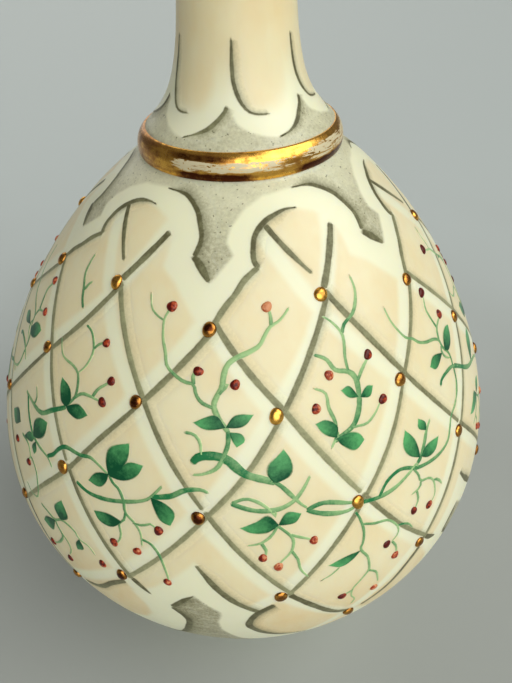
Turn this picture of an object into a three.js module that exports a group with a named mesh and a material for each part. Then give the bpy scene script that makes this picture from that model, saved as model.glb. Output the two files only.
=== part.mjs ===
// A blown opal glass carafe: round body, slender neck with a gilded glass collar, raised gilt
// beads where its painted trellis crosses, and a ground-in stopper.
// Millimetres, +Z up, origin at the centre of the foot, painted front towards -Y.
// An azimuth of 0 faces -Y and grows towards +X.
import * as THREE from "three";

// Body, from the foot up
const bodyRadius = 70;
const widestHeight = 57;
const heelRadius = 40;
const heelHeight = 2;
const footOuterRadius = 34;
const footInnerRadius = 25;
const puntRise = 5;
const shoulderRise = 81.3;
const neckRootRadius = 22.9;

// Glass
const wallThickness = 3.6;
const floorThickness = 6;

// Neck and mouth
const collarHeight = 5.6;
const neckStartRadius = 21.2;
const neckSweepHeight = 38.1;
const neckRadius = 11.5;
const neckTubeHeight = 38;
const lipFlareHeight = 17;
const lipRadius = 16;
const lipEdgeRadius = 1.6;
const mouthChamfer = 0.8;

// Hand-drawn lean of the neck, towards -X
const bendStart = 101.6;
const bendLength = 20;
const neckLean = THREE.MathUtils.degToRad(1.4);
const collarTilt = THREE.MathUtils.degToRad(2.7);
const collarTiltReach = 18;

// Collar
const collarBulge = 1.6;
const collarEdge = 0.4;

// Gilt beads, in rows measured along the glass from the widest line, up positive
const beadRadius = 1.4;
const beadHeight = 1.15;
const columns = 12;
const arches = 6;
const trellisAzimuth = THREE.MathUtils.degToRad(-8.2);
const topRowArc = 67;
const archRise = 5;
const upperRowArc = 50;
const middleRowArc = 27.9;
const lowerRowArc = 5.9;
const bottomRowArc = -11;

// Stopper
const plugRadius = 8.4;
const plugDepth = 24;
const plugTaper = 0.05;
const flangeRadius = 12.2;
const flangeThickness = 3;
const waistRadius = 6.2;
const waistHeight = 7.5;
const headRadius = 17.5;
const headWidestHeight = 23;
const headHeight = 46;

// Clearance between pieces that touch, and of the plug in the mouth
const seatGap = 0.3;
const plugGap = 0.3;

const neckRootHeight = widestHeight + shoulderRise;
const neckStartHeight = neckRootHeight + collarHeight;
const tubeStartHeight = neckStartHeight + neckSweepHeight;
const lipStartHeight = tubeStartHeight + neckTubeHeight;
const mouthHeight = lipStartHeight + lipFlareHeight + 2 * lipEdgeRadius;

const aroundBody = 56;
const aroundStopper = 40;
const aroundBead = 8;

const opalGlass = new THREE.MeshStandardMaterial({ color: 0xe6e7cf, roughness: 0.35 });
const gilding = new THREE.MeshStandardMaterial({ color: 0xb5852f, roughness: 0.3, metalness: 0.9 });

function at(radius, height) {
  return new THREE.Vector2(radius, height);
}

// A curve between two points of an outline. Each handle is a share of the curve's own width and height.
function sweep(from, to, firstHandle, secondHandle) {
  const handle = ([across, up]) =>
    at(THREE.MathUtils.lerp(from.x, to.x, across), THREE.MathUtils.lerp(from.y, to.y, up));
  return new THREE.CubicBezierCurve(from, handle(firstHandle), handle(secondHandle), to);
}

const belly = sweep(
  at(heelRadius, heelHeight),
  at(bodyRadius, widestHeight),
  [0.6, 0.255],
  [1, 0.6],
);
const shoulder = sweep(
  at(bodyRadius, widestHeight),
  at(neckRootRadius, neckRootHeight),
  [0, 0.375],
  [0.518, 0.818],
);
const neckSweep = sweep(
  at(neckStartRadius, neckStartHeight),
  at(neckRadius, tubeStartHeight),
  [0.64, 0.15],
  [0.96, 0.247],
);

// Points on the inner face of the wall behind an outline curve, from its top down
function innerFace(curve, divisions) {
  const points = [];
  for (let i = divisions; i >= 0; i--) {
    const outer = curve.getPoint(i / divisions);
    const along = curve.getTangent(i / divisions);
    points.push(at(outer.x - along.y * wallThickness, outer.y + along.x * wallThickness));
  }
  return points;
}

function footProfile() {
  const punt = sweep(at(0, puntRise), at(footInnerRadius, 0), [0.45, 0], [0.75, 0.7]);
  const heel = new THREE.QuadraticBezierCurve(
    at(footOuterRadius, 0),
    at((footOuterRadius + heelRadius) / 2, 0),
    at(heelRadius, heelHeight),
  );
  return [...punt.getPoints(3), ...heel.getPoints(2)];
}

function lipProfile() {
  const edgeCentre = at(lipRadius - lipEdgeRadius, mouthHeight - lipEdgeRadius);
  const flare = sweep(
    at(neckRadius, lipStartHeight),
    at(edgeCentre.x, edgeCentre.y - lipEdgeRadius),
    [0, 0.6],
    [0.3, 1],
  );
  const edge = new THREE.EllipseCurve(
    edgeCentre.x,
    edgeCentre.y,
    lipEdgeRadius,
    lipEdgeRadius,
    -Math.PI / 2,
    Math.PI / 2,
  );
  return [...flare.getPoints(4), ...edge.getPoints(4)];
}

// Radius of the ground plug at a depth below the mouth
function plugRadiusAt(depth) {
  return plugRadius - depth * plugTaper;
}

function boreProfile() {
  const boreRadiusAt = (depth) => plugRadiusAt(depth) + plugGap;
  return [
    at(boreRadiusAt(0) + mouthChamfer, mouthHeight),
    at(boreRadiusAt(mouthChamfer), mouthHeight - mouthChamfer),
    at(boreRadiusAt(plugDepth + seatGap), mouthHeight - plugDepth - seatGap),
  ];
}

function floorProfile(wallEnd) {
  const centreHeight = puntRise + floorThickness;
  const floor = sweep(wallEnd, at(0, centreHeight), [0.35, 0.05], [0.65, 1]);
  return floor.getPoints(4);
}

function vesselProfile() {
  const inside = [
    ...innerFace(neckSweep, 5),
    ...innerFace(shoulder, 7),
    ...innerFace(belly, 6),
  ];
  return [
    ...footProfile(),
    ...belly.getPoints(8),
    ...shoulder.getPoints(10),
    ...neckSweep.getPoints(8),
    ...lipProfile(),
    ...boreProfile(),
    ...inside,
    ...floorProfile(inside[inside.length - 1]),
  ];
}

// The profile starts and ends on the axis or closes on itself, and runs up its outer side.
function turned(profile, around) {
  const apart = profile.filter((point, i) => i === 0 || point.distanceTo(profile[i - 1]) > 0.01);
  return new THREE.LatheGeometry(apart, around).rotateX(Math.PI / 2);
}

// Centre of the level section at a height: straight up, then round the bend, then straight along the lean
function sectionCentre(height) {
  const bendRadius = bendLength / neckLean;
  const bent = THREE.MathUtils.clamp(height - bendStart, 0, bendLength) / bendRadius;
  const below = Math.min(height, bendStart);
  const above = Math.max(height - bendStart - bendLength, 0);
  return new THREE.Vector3(
    -bendRadius * (1 - Math.cos(bent)) - above * Math.sin(bent),
    0,
    below + bendRadius * Math.sin(bent) + above * Math.cos(bent),
  );
}

// Tilt of the level section at a height: the neck's lean, and a little more where the collar was wound on
function sectionTilt(height) {
  const bent = neckLean * THREE.MathUtils.clamp((height - bendStart) / bendLength, 0, 1);
  const fromCollar = height - neckRootHeight - collarHeight / 2;
  const nearness = THREE.MathUtils.clamp(1 - Math.abs(fromCollar) / collarTiltReach, 0, 1);
  return bent + (collarTilt - neckLean) * THREE.MathUtils.smoothstep(nearness, 0, 1);
}

// A group that stands on the leaning axis, level with a section
function sectionGroup(height) {
  const group = new THREE.Group();
  group.position.copy(sectionCentre(height));
  group.rotation.y = -sectionTilt(height);
  return group;
}

function lean(geometry) {
  const points = geometry.getAttribute("position");
  const axis = new THREE.Vector3(0, 1, 0);
  const point = new THREE.Vector3();
  for (let i = 0; i < points.count; i++) {
    const height = points.getZ(i);
    point.set(points.getX(i), points.getY(i), 0);
    point.applyAxisAngle(axis, -sectionTilt(height)).add(sectionCentre(height));
    points.setXYZ(i, point.x, point.y, point.z);
  }
  return geometry;
}

function named(name, geometry, material) {
  const mesh = new THREE.Mesh(geometry, material);
  mesh.name = name;
  return mesh;
}

function makeVessel() {
  return named("vessel", lean(turned(vesselProfile(), aroundBody)), opalGlass);
}

// A glass thread wound round the foot of the neck, flat against the cone it sits on
function makeCollar() {
  const foot = at(neckRootRadius, neckRootHeight);
  const top = at(neckStartRadius, neckStartHeight);
  const up = top.clone().sub(foot).normalize();
  const out = at(up.y, -up.x);
  const offCone = (share, distance) => foot.clone().lerp(top, share).addScaledVector(out, distance);
  const outside = [0.06, 0.2, 0.4, 0.6, 0.8, 0.94].map((share) => {
    const swell = Math.sin(share * Math.PI);
    return offCone(share, seatGap + collarEdge + (collarBulge - collarEdge) * swell);
  });
  const profile = [offCone(0, seatGap), ...outside, offCone(1, seatGap), offCone(0, seatGap)];
  return named("neck_collar", lean(turned(profile, aroundBody)), gilding);
}

// Point of the glass at a distance along the body's outline from its widest line, with the way out there
function bodySurface(arc) {
  const outline = new THREE.CurvePath();
  outline.add(belly);
  outline.add(shoulder);
  const share = (belly.getLength() + arc) / outline.getLength();
  const along = outline.getTangent(share);
  return { point: outline.getPoint(share), out: at(along.y, -along.x) };
}

function beadGeometry() {
  const dome = new THREE.EllipseCurve(0, 0, beadRadius, beadHeight, 0, Math.PI / 2);
  return turned([at(0, 0), ...dome.getPoints(3)], aroundBead);
}

function makeBead(name, azimuth, arc) {
  const { point, out } = bodySurface(arc);
  const column = new THREE.Group();
  column.rotation.z = azimuth;
  const bead = named(name, beadGeometry(), gilding);
  bead.position.set(0, -point.x - seatGap * out.x, seatGap * out.y);
  bead.rotation.x = Math.atan2(out.x, out.y);
  column.add(bead);
  const level = sectionGroup(point.y);
  level.add(column);
  return level;
}

// Beads sit where the trellis crosses, in rows that are set over by half a column in turn.
// In the top row every second one stands higher, under an arch of the border.
function makeBeads() {
  const beads = new THREE.Group();
  const step = (2 * Math.PI) / columns;
  const label = (row, number) => `bead_${row}_${String(number).padStart(2, "0")}`;
  for (let i = 0; i < columns; i++) {
    const azimuth = trellisAzimuth + i * step;
    const rise = i % 2 === 1 ? archRise : 0;
    beads.add(makeBead(label("top", i + 1), azimuth, topRowArc + rise));
    beads.add(makeBead(label("upper", i + 1), azimuth + step / 2, upperRowArc));
    beads.add(makeBead(label("middle", i + 1), azimuth, middleRowArc));
    beads.add(makeBead(label("lower", i + 1), azimuth + step / 2, lowerRowArc));
  }
  for (let i = 0; i < arches; i++) {
    const azimuth = trellisAzimuth + step + (i * 2 * Math.PI) / arches;
    beads.add(makeBead(label("bottom", i + 1), azimuth, bottomRowArc));
  }
  return beads;
}

// Heights count from the mouth of the neck.
function makeStopper() {
  const flangeTop = seatGap + flangeThickness;
  const flangeCurve = new THREE.EllipseCurve(
    flangeRadius - flangeThickness / 2,
    seatGap + flangeThickness / 2,
    flangeThickness / 2,
    flangeThickness / 2,
    -Math.PI / 2,
    Math.PI / 2,
  );
  const throat = sweep(
    at(flangeRadius - flangeThickness / 2, flangeTop),
    at(waistRadius, waistHeight),
    [0.7, 0],
    [1, 0.4],
  );
  const bulb = sweep(at(waistRadius, waistHeight), at(headRadius, headWidestHeight), [0, 0.3], [1, 0.4]);
  const crown = sweep(at(headRadius, headWidestHeight), at(0, headHeight), [0, 0.55], [0.82, 0.75]);
  const profile = [
    at(0, -plugDepth),
    at(plugRadiusAt(plugDepth), -plugDepth),
    at(plugRadiusAt(0), seatGap),
    ...flangeCurve.getPoints(4),
    ...throat.getPoints(3),
    ...bulb.getPoints(6),
    ...crown.getPoints(8),
  ];
  const seat = sectionGroup(mouthHeight);
  seat.add(named("stopper", turned(profile, aroundStopper), opalGlass));
  return seat;
}

const carafe = new THREE.Group();
carafe.add(makeVessel(), makeCollar(), makeBeads(), makeStopper());

export default carafe;
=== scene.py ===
"""Looks of a blown opal glass carafe with a painted trellis, vine sprigs, gilt beads and a gilded collar.

The painted pattern is laid out on the glass like a drawing: across by azimuth, in degrees from the front
and growing to the right, and up by arc, in millimetres along the outline from the body's widest line.
"""

import math

import bmesh
import bpy
import numpy as np
from mathutils import Matrix, Vector


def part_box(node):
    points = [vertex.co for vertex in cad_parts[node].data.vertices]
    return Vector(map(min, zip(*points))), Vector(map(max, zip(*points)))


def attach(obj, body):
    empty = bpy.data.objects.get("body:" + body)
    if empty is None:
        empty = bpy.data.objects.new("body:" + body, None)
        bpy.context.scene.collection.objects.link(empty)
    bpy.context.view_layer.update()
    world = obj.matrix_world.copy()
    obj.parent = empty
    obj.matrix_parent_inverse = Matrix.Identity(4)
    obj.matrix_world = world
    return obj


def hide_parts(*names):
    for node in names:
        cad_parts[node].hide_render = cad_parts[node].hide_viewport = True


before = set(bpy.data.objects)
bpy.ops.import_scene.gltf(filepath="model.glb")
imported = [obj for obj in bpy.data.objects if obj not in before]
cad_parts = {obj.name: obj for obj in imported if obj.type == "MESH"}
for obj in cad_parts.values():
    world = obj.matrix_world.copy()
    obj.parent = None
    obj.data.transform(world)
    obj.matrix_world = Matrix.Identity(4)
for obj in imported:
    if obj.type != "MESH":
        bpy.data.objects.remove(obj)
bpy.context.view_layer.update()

bl_info = {
    "name": "Painted opal carafe",
    "version": (1, 0, 0),
    "blender": (4, 5, 0),
    "location": "3D View > Sidebar > Carafe",
    "description": "Dresses the packed carafe in painted opal glass, enamel and gilding",
    "category": "Add Mesh",
}

MM = 0.001

# Outline of the glass in millimetres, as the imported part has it
BODY_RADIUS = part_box("vessel")[1].x / MM
WIDEST_HEIGHT = 57.0
HEEL = (40.0, 2.0)
FOOT_OUTER_RADIUS = 34.0
FOOT_INNER_RADIUS = 25.0
PUNT_RISE = 5.0
NECK_ROOT = (22.9, 138.3)
NECK_START = (21.2, 143.9)
TUBE_START = (11.5, 182.0)
TUBE_END = (11.5, 220.0)
MOUTH_HEIGHT = 240.2
LIP_RADIUS = 16.0
LIP_EDGE_RADIUS = 1.6
WALL = 3.6
FLOOR = 6.0
PLUG_RADIUS = 8.4
PLUG_DEPTH = 24.0
PLUG_TAPER = 0.05
PLUG_GAP = 0.3
MOUTH_CHAMFER = 0.8

# Curves of the outline: start, end and both handles, each a share of the curve's own width and height. The
# floor's curve has handles only, because it starts where the wall ends.
LIP_CENTRE = (LIP_RADIUS - LIP_EDGE_RADIUS, MOUTH_HEIGHT - LIP_EDGE_RADIUS)
PUNT = ((0, PUNT_RISE), (FOOT_INNER_RADIUS, 0), (0.45, 0), (0.75, 0.7))
FOOT = ((FOOT_OUTER_RADIUS, 0), HEEL, (2 / 3, 0), (2 / 3, 1 / 3))
BELLY = (HEEL, (BODY_RADIUS, WIDEST_HEIGHT), (0.6, 0.255), (1, 0.6))
SHOULDER = ((BODY_RADIUS, WIDEST_HEIGHT), NECK_ROOT, (0, 0.375), (0.518, 0.818))
NECK_SWEEP = (NECK_START, TUBE_START, (0.64, 0.15), (0.96, 0.247))
FLARE = (TUBE_END, (LIP_CENTRE[0], LIP_CENTRE[1] - LIP_EDGE_RADIUS), (0, 0.6), (0.3, 1))
FLOOR_HANDLES = ((0.35, 0.05), (0.65, 1))

# Hand-drawn lean of the neck
BEND_START = 101.6
BEND_LENGTH = 20.0
NECK_LEAN = math.radians(1.4)
COLLAR_TILT = math.radians(2.7)
COLLAR_TILT_REACH = 18.0
COLLAR_MIDDLE = (NECK_ROOT[1] + NECK_START[1]) / 2
COLLAR_BULGE = 1.9

# Trellis: twelve columns of beads, in rows that are set over by half a column in turn
COLUMNS = 12
COLUMN_STEP = 360 / COLUMNS
PERIOD = 60.0
PENDANT_AZIMUTH = -8.2
ARCH_AZIMUTH = PENDANT_AZIMUTH + COLUMN_STEP
TOP_ROW = 67.0
ARCH_RISE = 5.0
UPPER_ROW = 50.0
MIDDLE_ROW = 27.9
LOWER_ROW = 5.9
BOTTOM_ROW = -11.0

# How far the painted lines cross to the right of a bead, in degrees, and above it, in millimetres, and how
# much higher they cross at an arch than elsewhere in the top row
CROSSING_SHIFT = (1.7, 0.8)
ARCH_CROSSING_RISE = ARCH_RISE - 1

# Rows that the laths run through besides those of the beads: below them, at the arches and above
LOWEST_ROW = BOTTOM_ROW - 22
CROSSING_ROW = TOP_ROW + 1
HIGHEST_ROW = TOP_ROW + 21

# A line that stops short of a bead ends this many millimetres above or below it, and degrees to its left
BEAD_GAP = 1.9
BEAD_SIDESTEP = 1.4

# White lath beside each line of the trellis: millimetres from the line to its middle, negative to the left
LATH_MIDDLE = -1.72
LATH_WIDTH = 3.45

# Soft edges of the painted grounds: how many millimetres inside its outline a ground starts and is full
PANEL_EDGE = (-0.5, 1.2)
LATH_EDGE = (-0.95, 0.75)
FLUTE_EDGE = (-1.0, 2.8)
BORDER_EDGE = (-0.3, 0.9)
SCALLOP_EDGE = (-0.3, 0.8)
GILT_EDGE = (0, 0.7)

# How many widths of a soft edge its value runs on for beyond it, so that it is true between vertices
EDGE_RUN_OUT = 3

# Arcs from which a ground is the shoulder's and the neck's, down to which the foot's border is drawn, and
# over which its grey begins
SHOULDER_FROM = 40.0
NECK_FROM = 100.0
GREY_TO = -42.0
FOOT_GREY_BEGINS = (-41.0, -38.0)

# Arcs over which the peach closes round the neck, and millimetres below the mouth over which it ends
PEACH_ALL_ROUND = (112, 123)
PEACH_BELOW_LIP = (5, 9)

# Strengths of the grounds, how much the panels' peach and the shoulder's grey gain further down, and the arcs
# between which they gain it. The panels' stronger peach low on the body is partly painted shade on its
# underside.
PANEL_PEACH = 0.56
PANEL_PEACH_GAIN = 0.26
PANEL_GAIN_ARCS = (12, -8)
NECK_PEACH = 0.68
NECK_GREY = 0.52
SHOULDER_GREY = 0.36
SHOULDER_GREY_GAIN = 0.3
SHOULDER_GAIN_ARCS = (94, 82)
FOOT_GREY = 0.85

# Gilt band at the lip and gilt line above the foot
LIP_GILT_HEIGHT = 7.5
FOOT_GILT_ARC = -44.0
FOOT_GILT_HALF_WIDTH = 1.2

# Height above the glass, in millimetres, at which every layer of paint starts, and its depth into the glass
PAINT_BED = 0.012
PAINT_DEPTH = 0.16

# Millimetres or degrees over which a slope of the glass is taken, and steps between a curve's given points
SLOPE_STEP = 0.1
CURVE_STEPS = 8


def sweep(start, end, first, second, count=160):
    """Points of a curve of an outline. Each handle is a share of the curve's own width and height."""
    start = np.array(start, float)
    end = np.array(end, float)
    leaving = start + (end - start) * first
    arriving = start + (end - start) * second
    t = np.linspace(0, 1, count + 1)[:, None]
    return (
        start * (1 - t) ** 3
        + 3 * leaving * t * (1 - t) ** 2
        + 3 * arriving * t**2 * (1 - t)
        + end * t**3
    )


def round_stretch(centre, radius, first, last, count=12):
    """Points of a round stretch of an outline between two angles, in degrees from level."""
    angles = np.radians(np.linspace(first, last, count + 1))
    return np.column_stack([centre[0] + radius * np.cos(angles), centre[1] + radius * np.sin(angles)])


def outside_points():
    """Outline of the outside from the heel to the mouth, and the number of its widest point."""
    belly, shoulder, neck, flare = (sweep(*curve) for curve in (BELLY, SHOULDER, NECK_SWEEP, FLARE))
    lip = round_stretch(LIP_CENTRE, LIP_EDGE_RADIUS, -90, 90)
    return np.concatenate([belly, shoulder[1:], neck, flare, lip[1:]]), len(belly) - 1


def lengths_along(points):
    return np.concatenate([[0], np.cumsum(np.hypot(*np.diff(points, axis=0).T))])


OUTSIDE, WIDEST_POINT = outside_points()
ARCS = lengths_along(OUTSIDE)
ARCS = ARCS - ARCS[WIDEST_POINT]
HEEL_ARC = ARCS[0]
MOUTH_ARC = ARCS[-1]


def smooth_share(value, low, high):
    """How far a value is from low to high, as a share that comes and goes softly."""
    share = np.clip((value - low) / (high - low), 0, 1)
    return share * share * (3 - 2 * share)


def outline_at(arc):
    """Radius and height of the outside of the glass."""
    return np.interp(arc, ARCS, OUTSIDE[:, 0]), np.interp(arc, ARCS, OUTSIDE[:, 1])


def per_degree_at(arc):
    """Millimetres round the glass in one degree of azimuth."""
    return np.radians(outline_at(arc)[0])


def arc_at(height):
    return np.interp(height, OUTSIDE[:, 1], ARCS)


def section_centre(height):
    """Centre of the level section at a height: straight up, round the bend, then along the lean."""
    bend_radius = BEND_LENGTH / NECK_LEAN
    bent = np.clip(height - BEND_START, 0, BEND_LENGTH) / bend_radius
    above = np.maximum(height - BEND_START - BEND_LENGTH, 0)
    across = -bend_radius * (1 - np.cos(bent)) - above * np.sin(bent)
    up = np.minimum(height, BEND_START) + bend_radius * np.sin(bent) + above * np.cos(bent)
    return across, up


def section_tilt(height):
    bent = NECK_LEAN * np.clip((height - BEND_START) / BEND_LENGTH, 0, 1)
    nearness = smooth_share(1 - np.abs(height - COLLAR_MIDDLE) / COLLAR_TILT_REACH, 0, 1)
    return bent + (COLLAR_TILT - NECK_LEAN) * nearness


def leaned(radius, height, azimuth):
    """Points in metres of a round section, set over and tilted as the neck leans."""
    turn = np.radians(azimuth)
    across = radius * np.sin(turn)
    tilt = section_tilt(height)
    centre_across, centre_up = section_centre(height)
    x = centre_across + across * np.cos(tilt)
    z = centre_up + across * np.sin(tilt)
    return np.stack([x, -radius * np.cos(turn), z], -1) * MM


def on_glass(azimuth, arc, lift=0.0):
    """Points in metres at a height above the outside of the glass."""
    radius, height = outline_at(arc)
    radius_after, height_after = outline_at(arc + SLOPE_STEP)
    radius_before, height_before = outline_at(arc - SLOPE_STEP)
    run = radius_after - radius_before
    rise = height_after - height_before
    slope = np.hypot(run, rise)
    return leaned(radius + lift * rise / slope, height - lift * run / slope, azimuth)


def place_on_glass(azimuth, arc):
    """A frame that stands on the glass: x to the right, y up along the outline, z outwards."""
    origin = Vector(on_glass(azimuth, arc))
    right = (Vector(on_glass(azimuth + SLOPE_STEP, arc)) - origin).normalized()
    up = (Vector(on_glass(azimuth, arc + SLOPE_STEP)) - origin).normalized()
    out = right.cross(up).normalized()
    up = out.cross(right)
    return Matrix.Translation(origin) @ Matrix((right, up, out)).transposed().to_4x4()


# Painted pattern, read off the glass. Each point is (azimuth, arc).
# What follows is the border's part that repeats six times round the body.

TOP_EDGE = [
    (-30.4, 76), (-25.8, 80), (-23.8, 81.5), (-26.3, 84.5), (-24.8, 87.5), (-19.8, 91), (-11.8, 93.5),
    (2.2, 94.3), (10.2, 94), (15.2, 93), (20.2, 90.5), (22.7, 88), (24.2, 84.5), (22.9, 81), (21.4, 80.7),
    (24.7, 79.5), (29.6, 76),
]
PANEL_TOP = [
    (-30.5, 69), (-24.8, 73.5), (-19.8, 76.5), (-16.1, 78.8), (-17.8, 80), (-18.1, 82.5), (-16.8, 85.5),
    (-13.3, 88), (-8.8, 89.5), (-3.8, 90.3), (2, 90), (8, 88.6), (12.5, 86), (14.3, 83), (14.5, 80.5),
    (14.2, 78), (19, 75.5), (24, 71), (29.5, 66),
]
PANEL_BOTTOM = [
    (29.5, 15.8), (26, 10.5), (21.5, 5), (17.2, 1), (19.7, -4), (20.2, -8), (18.2, -13), (14, -18),
    (8, -21.5), (0, -23), (-8, -21), (-13.8, -17), (-17.3, -13.5), (-19.6, -10), (-20.6, -6.5),
    (-20.3, -3), (-18.8, 0.5), (-22.8, 4), (-26.3, 8.5), (-28.8, 12.5), (-30.5, 15.8),
]
LOW_EDGE = [
    (-30, -31.5), (-22, -31), (-14, -29), (-8, -25), (-4.8, -18), (-3.8, -16), (-2.6, -11), (-2.3, -7),
    (-3.3, -4), (-5.3, -1), (-2.8, 3), (-0.6, 5.5), (1.5, 2.8), (4.2, 0), (4.4, -1.5), (3.7, -5),
    (4.2, -10), (6.2, -15), (8.2, -20), (12, -25), (18, -29), (24, -31), (30, -31.5),
]
NECK_SCALLOP = [
    (-30.3, 112.2), (-27.8, 111.5), (-21.8, 108.5), (-13.8, 106.8), (-3.8, 105.6), (2.2, 105.2),
    (10.2, 106), (18.2, 107.5), (24.2, 109.2), (28.2, 111), (29.7, 112.2),
]
FLUTE = [
    (-29.8, 132), (-27.4, 125), (-26.8, 119), (-25.3, 116), (-20.8, 113), (-14.8, 110.8), (-7.8, 110),
    (0.2, 109.9), (8, 110.3), (13.2, 111), (20, 114), (26.2, 118), (28.8, 121.5), (30, 126), (30.2, 132),
]


def catmull_rom(points, count):
    """Points at even distances along a smooth curve through the given ones, in their own plane."""
    points = np.asarray(points, float)
    ends = np.concatenate([[2 * points[0] - points[1]], points, [2 * points[-1] - points[-2]]])
    t = np.arange(CURVE_STEPS)[:, None] / CURVE_STEPS
    pieces = []
    for before, start, end, after in zip(ends, ends[1:], ends[2:], ends[3:]):
        pieces.append(
            0.5
            * (
                2 * start
                + (end - before) * t
                + (2 * before - 5 * start + 4 * end - after) * t**2
                + (3 * start - before - 3 * end + after) * t**3
            )
        )
    curve = np.concatenate(pieces + [points[-1:]])
    along = lengths_along(curve)
    shares = np.linspace(0, along[-1], count)
    return np.column_stack([np.interp(shares, along, curve[:, 0]), np.interp(shares, along, curve[:, 1])])


def flattened(points):
    """The points as millimetres across and up, at the size the glass has where they lie, and that scale."""
    points = np.asarray(points, float)
    scale = per_degree_at(points[:, 1].mean())
    return points * (scale, 1), scale


def distance_to_line(azimuth, arc, line):
    """Millimetres from each place on the glass to a painted line, which may be up to a turn away."""
    per_degree = per_degree_at(arc)
    nearest = np.full(len(arc), np.inf)
    for start, end in zip(line, line[1:]):
        across = (azimuth - start[0]) * per_degree
        up = arc - start[1]
        run = (end[0] - start[0]) * per_degree
        rise = end[1] - start[1]
        share = np.clip((across * run + up * rise) / (run**2 + rise**2), 0, 1)
        nearest = np.minimum(nearest, np.hypot(across - share * run, up - share * rise))
    return nearest


def inside_outline(azimuth, arc, outline):
    inside = np.zeros(len(arc), bool)
    for (x0, y0), (x1, y1) in zip(outline, outline[1:] + outline[:1]):
        if y0 != y1:
            crosses = (y0 > arc) != (y1 > arc)
            inside ^= crosses & (azimuth < x0 + (arc - y0) * (x1 - x0) / (y1 - y0))
    return inside


def across_edge(depth, low, high):
    """How far a place is across a soft edge: 0 where it starts, 1 where it ends, and on past both."""
    return np.clip((depth - low) / (high - low), -EDGE_RUN_OUT, 1 + EDGE_RUN_OUT)


def field_edge(azimuth, arc, outline, edges, centre, softness):
    """How far places are across the soft edge of a field that repeats round the glass."""
    local = (azimuth - centre + PERIOD / 2) % PERIOD - PERIOD / 2
    depth = np.full(len(arc), np.inf)
    inside = np.zeros(len(arc), bool)
    for turn in (-PERIOD, 0, PERIOD):
        inside |= inside_outline(local + turn, arc, outline)
        for edge in edges:
            depth = np.minimum(depth, distance_to_line(local + turn, arc, edge))
    return across_edge(np.where(inside, depth, -depth), *softness)


def trellis_distances(azimuth, arc):
    """Millimetres to the right of the nearest falling line and of the nearest rising line of the trellis."""
    rows = [LOWEST_ROW, BOTTOM_ROW, LOWER_ROW, MIDDLE_ROW, UPPER_ROW, CROSSING_ROW, HIGHEST_ROW]
    steps = (np.arange(len(rows)) - rows.index(MIDDLE_ROW)) * COLUMN_STEP / 2
    walked = np.interp(arc - CROSSING_SHIFT[1], rows, steps)
    slope = (np.interp(arc + 1, rows, steps) - np.interp(arc - 1, rows, steps)) / 2
    per_degree = per_degree_at(arc)
    origin = ARCH_AZIMUTH + CROSSING_SHIFT[0]
    distances = []
    for side in (-1, 1):
        off = (azimuth - origin - side * walked + COLUMN_STEP / 2) % COLUMN_STEP - COLUMN_STEP / 2
        distances.append(off * per_degree / np.hypot(1, slope * per_degree))
    return distances


def peach_ground(azimuth, arc):
    """The peach enamel's edges and strength, in the panels between the white laths and up the neck."""
    outline = PANEL_TOP + PANEL_BOTTOM
    body = field_edge(azimuth, arc, outline, [PANEL_TOP, PANEL_BOTTOM], ARCH_AZIMUTH, PANEL_EDGE)
    for right_of_line in trellis_distances(azimuth, arc):
        from_lath = np.abs(right_of_line - LATH_MIDDLE) - LATH_WIDTH / 2
        body = np.minimum(body, across_edge(from_lath, *LATH_EDGE))
    flute = field_edge(azimuth, arc, FLUTE, [FLUTE], ARCH_AZIMUTH, FLUTE_EDGE)
    neck = np.maximum(flute, across_edge(arc, *PEACH_ALL_ROUND))
    neck = np.minimum(neck, across_edge(MOUTH_ARC - arc, *PEACH_BELOW_LIP))
    on_body = arc < NECK_FROM
    strength = PANEL_PEACH + PANEL_PEACH_GAIN * smooth_share(arc, *PANEL_GAIN_ARCS)
    return np.where(on_body, body, neck), np.where(on_body, strength, NECK_PEACH)


def grey_ground(azimuth, arc):
    """The edges and strength of the stippled grey of the borders."""
    fields = []
    for edge, end, centre, softness in (
        (NECK_SCALLOP, NECK_FROM, ARCH_AZIMUTH, SCALLOP_EDGE),
        (TOP_EDGE, NECK_FROM, ARCH_AZIMUTH, BORDER_EDGE),
        (LOW_EDGE, GREY_TO, PENDANT_AZIMUTH, BORDER_EDGE),
    ):
        outline = edge + [(edge[-1][0], end), (edge[0][0], end)]
        fields.append(field_edge(azimuth, arc, outline, [edge], centre, softness))
    neck, shoulder, foot = fields
    foot = np.minimum(foot, across_edge(arc, *FOOT_GREY_BEGINS))
    shoulder_grey = SHOULDER_GREY + SHOULDER_GREY_GAIN * smooth_share(arc, *SHOULDER_GAIN_ARCS)
    place = [arc > NECK_FROM, arc > SHOULDER_FROM]
    strength = np.select(place, [NECK_GREY, shoulder_grey], FOOT_GREY)
    return np.select(place, [neck, shoulder], foot), strength


def grounds_at(azimuth, arc):
    """Edges of the grounds at each place on the glass (peach, grey and gilt), then their strengths."""
    lip = across_edge(arc - MOUTH_ARC + LIP_GILT_HEIGHT, *GILT_EDGE)
    foot = across_edge(FOOT_GILT_HALF_WIDTH - np.abs(arc - FOOT_GILT_ARC), *GILT_EDGE)
    peach, peach_strength = peach_ground(azimuth, arc)
    grey, grey_strength = grey_ground(azimuth, arc)
    outside = arc[:, None] > HEEL_ARC
    edges = np.where(outside, np.column_stack([peach, grey, np.maximum(lip, foot)]), -1)
    return edges, np.column_stack([peach_strength, grey_strength])


def paint_grounds(verts, layers, azimuth, arc):
    for name, values in zip(("grounds", "strengths"), grounds_at(azimuth, arc)):
        paint_layer(verts, layers.float_vector[name], *values.T)


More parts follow.
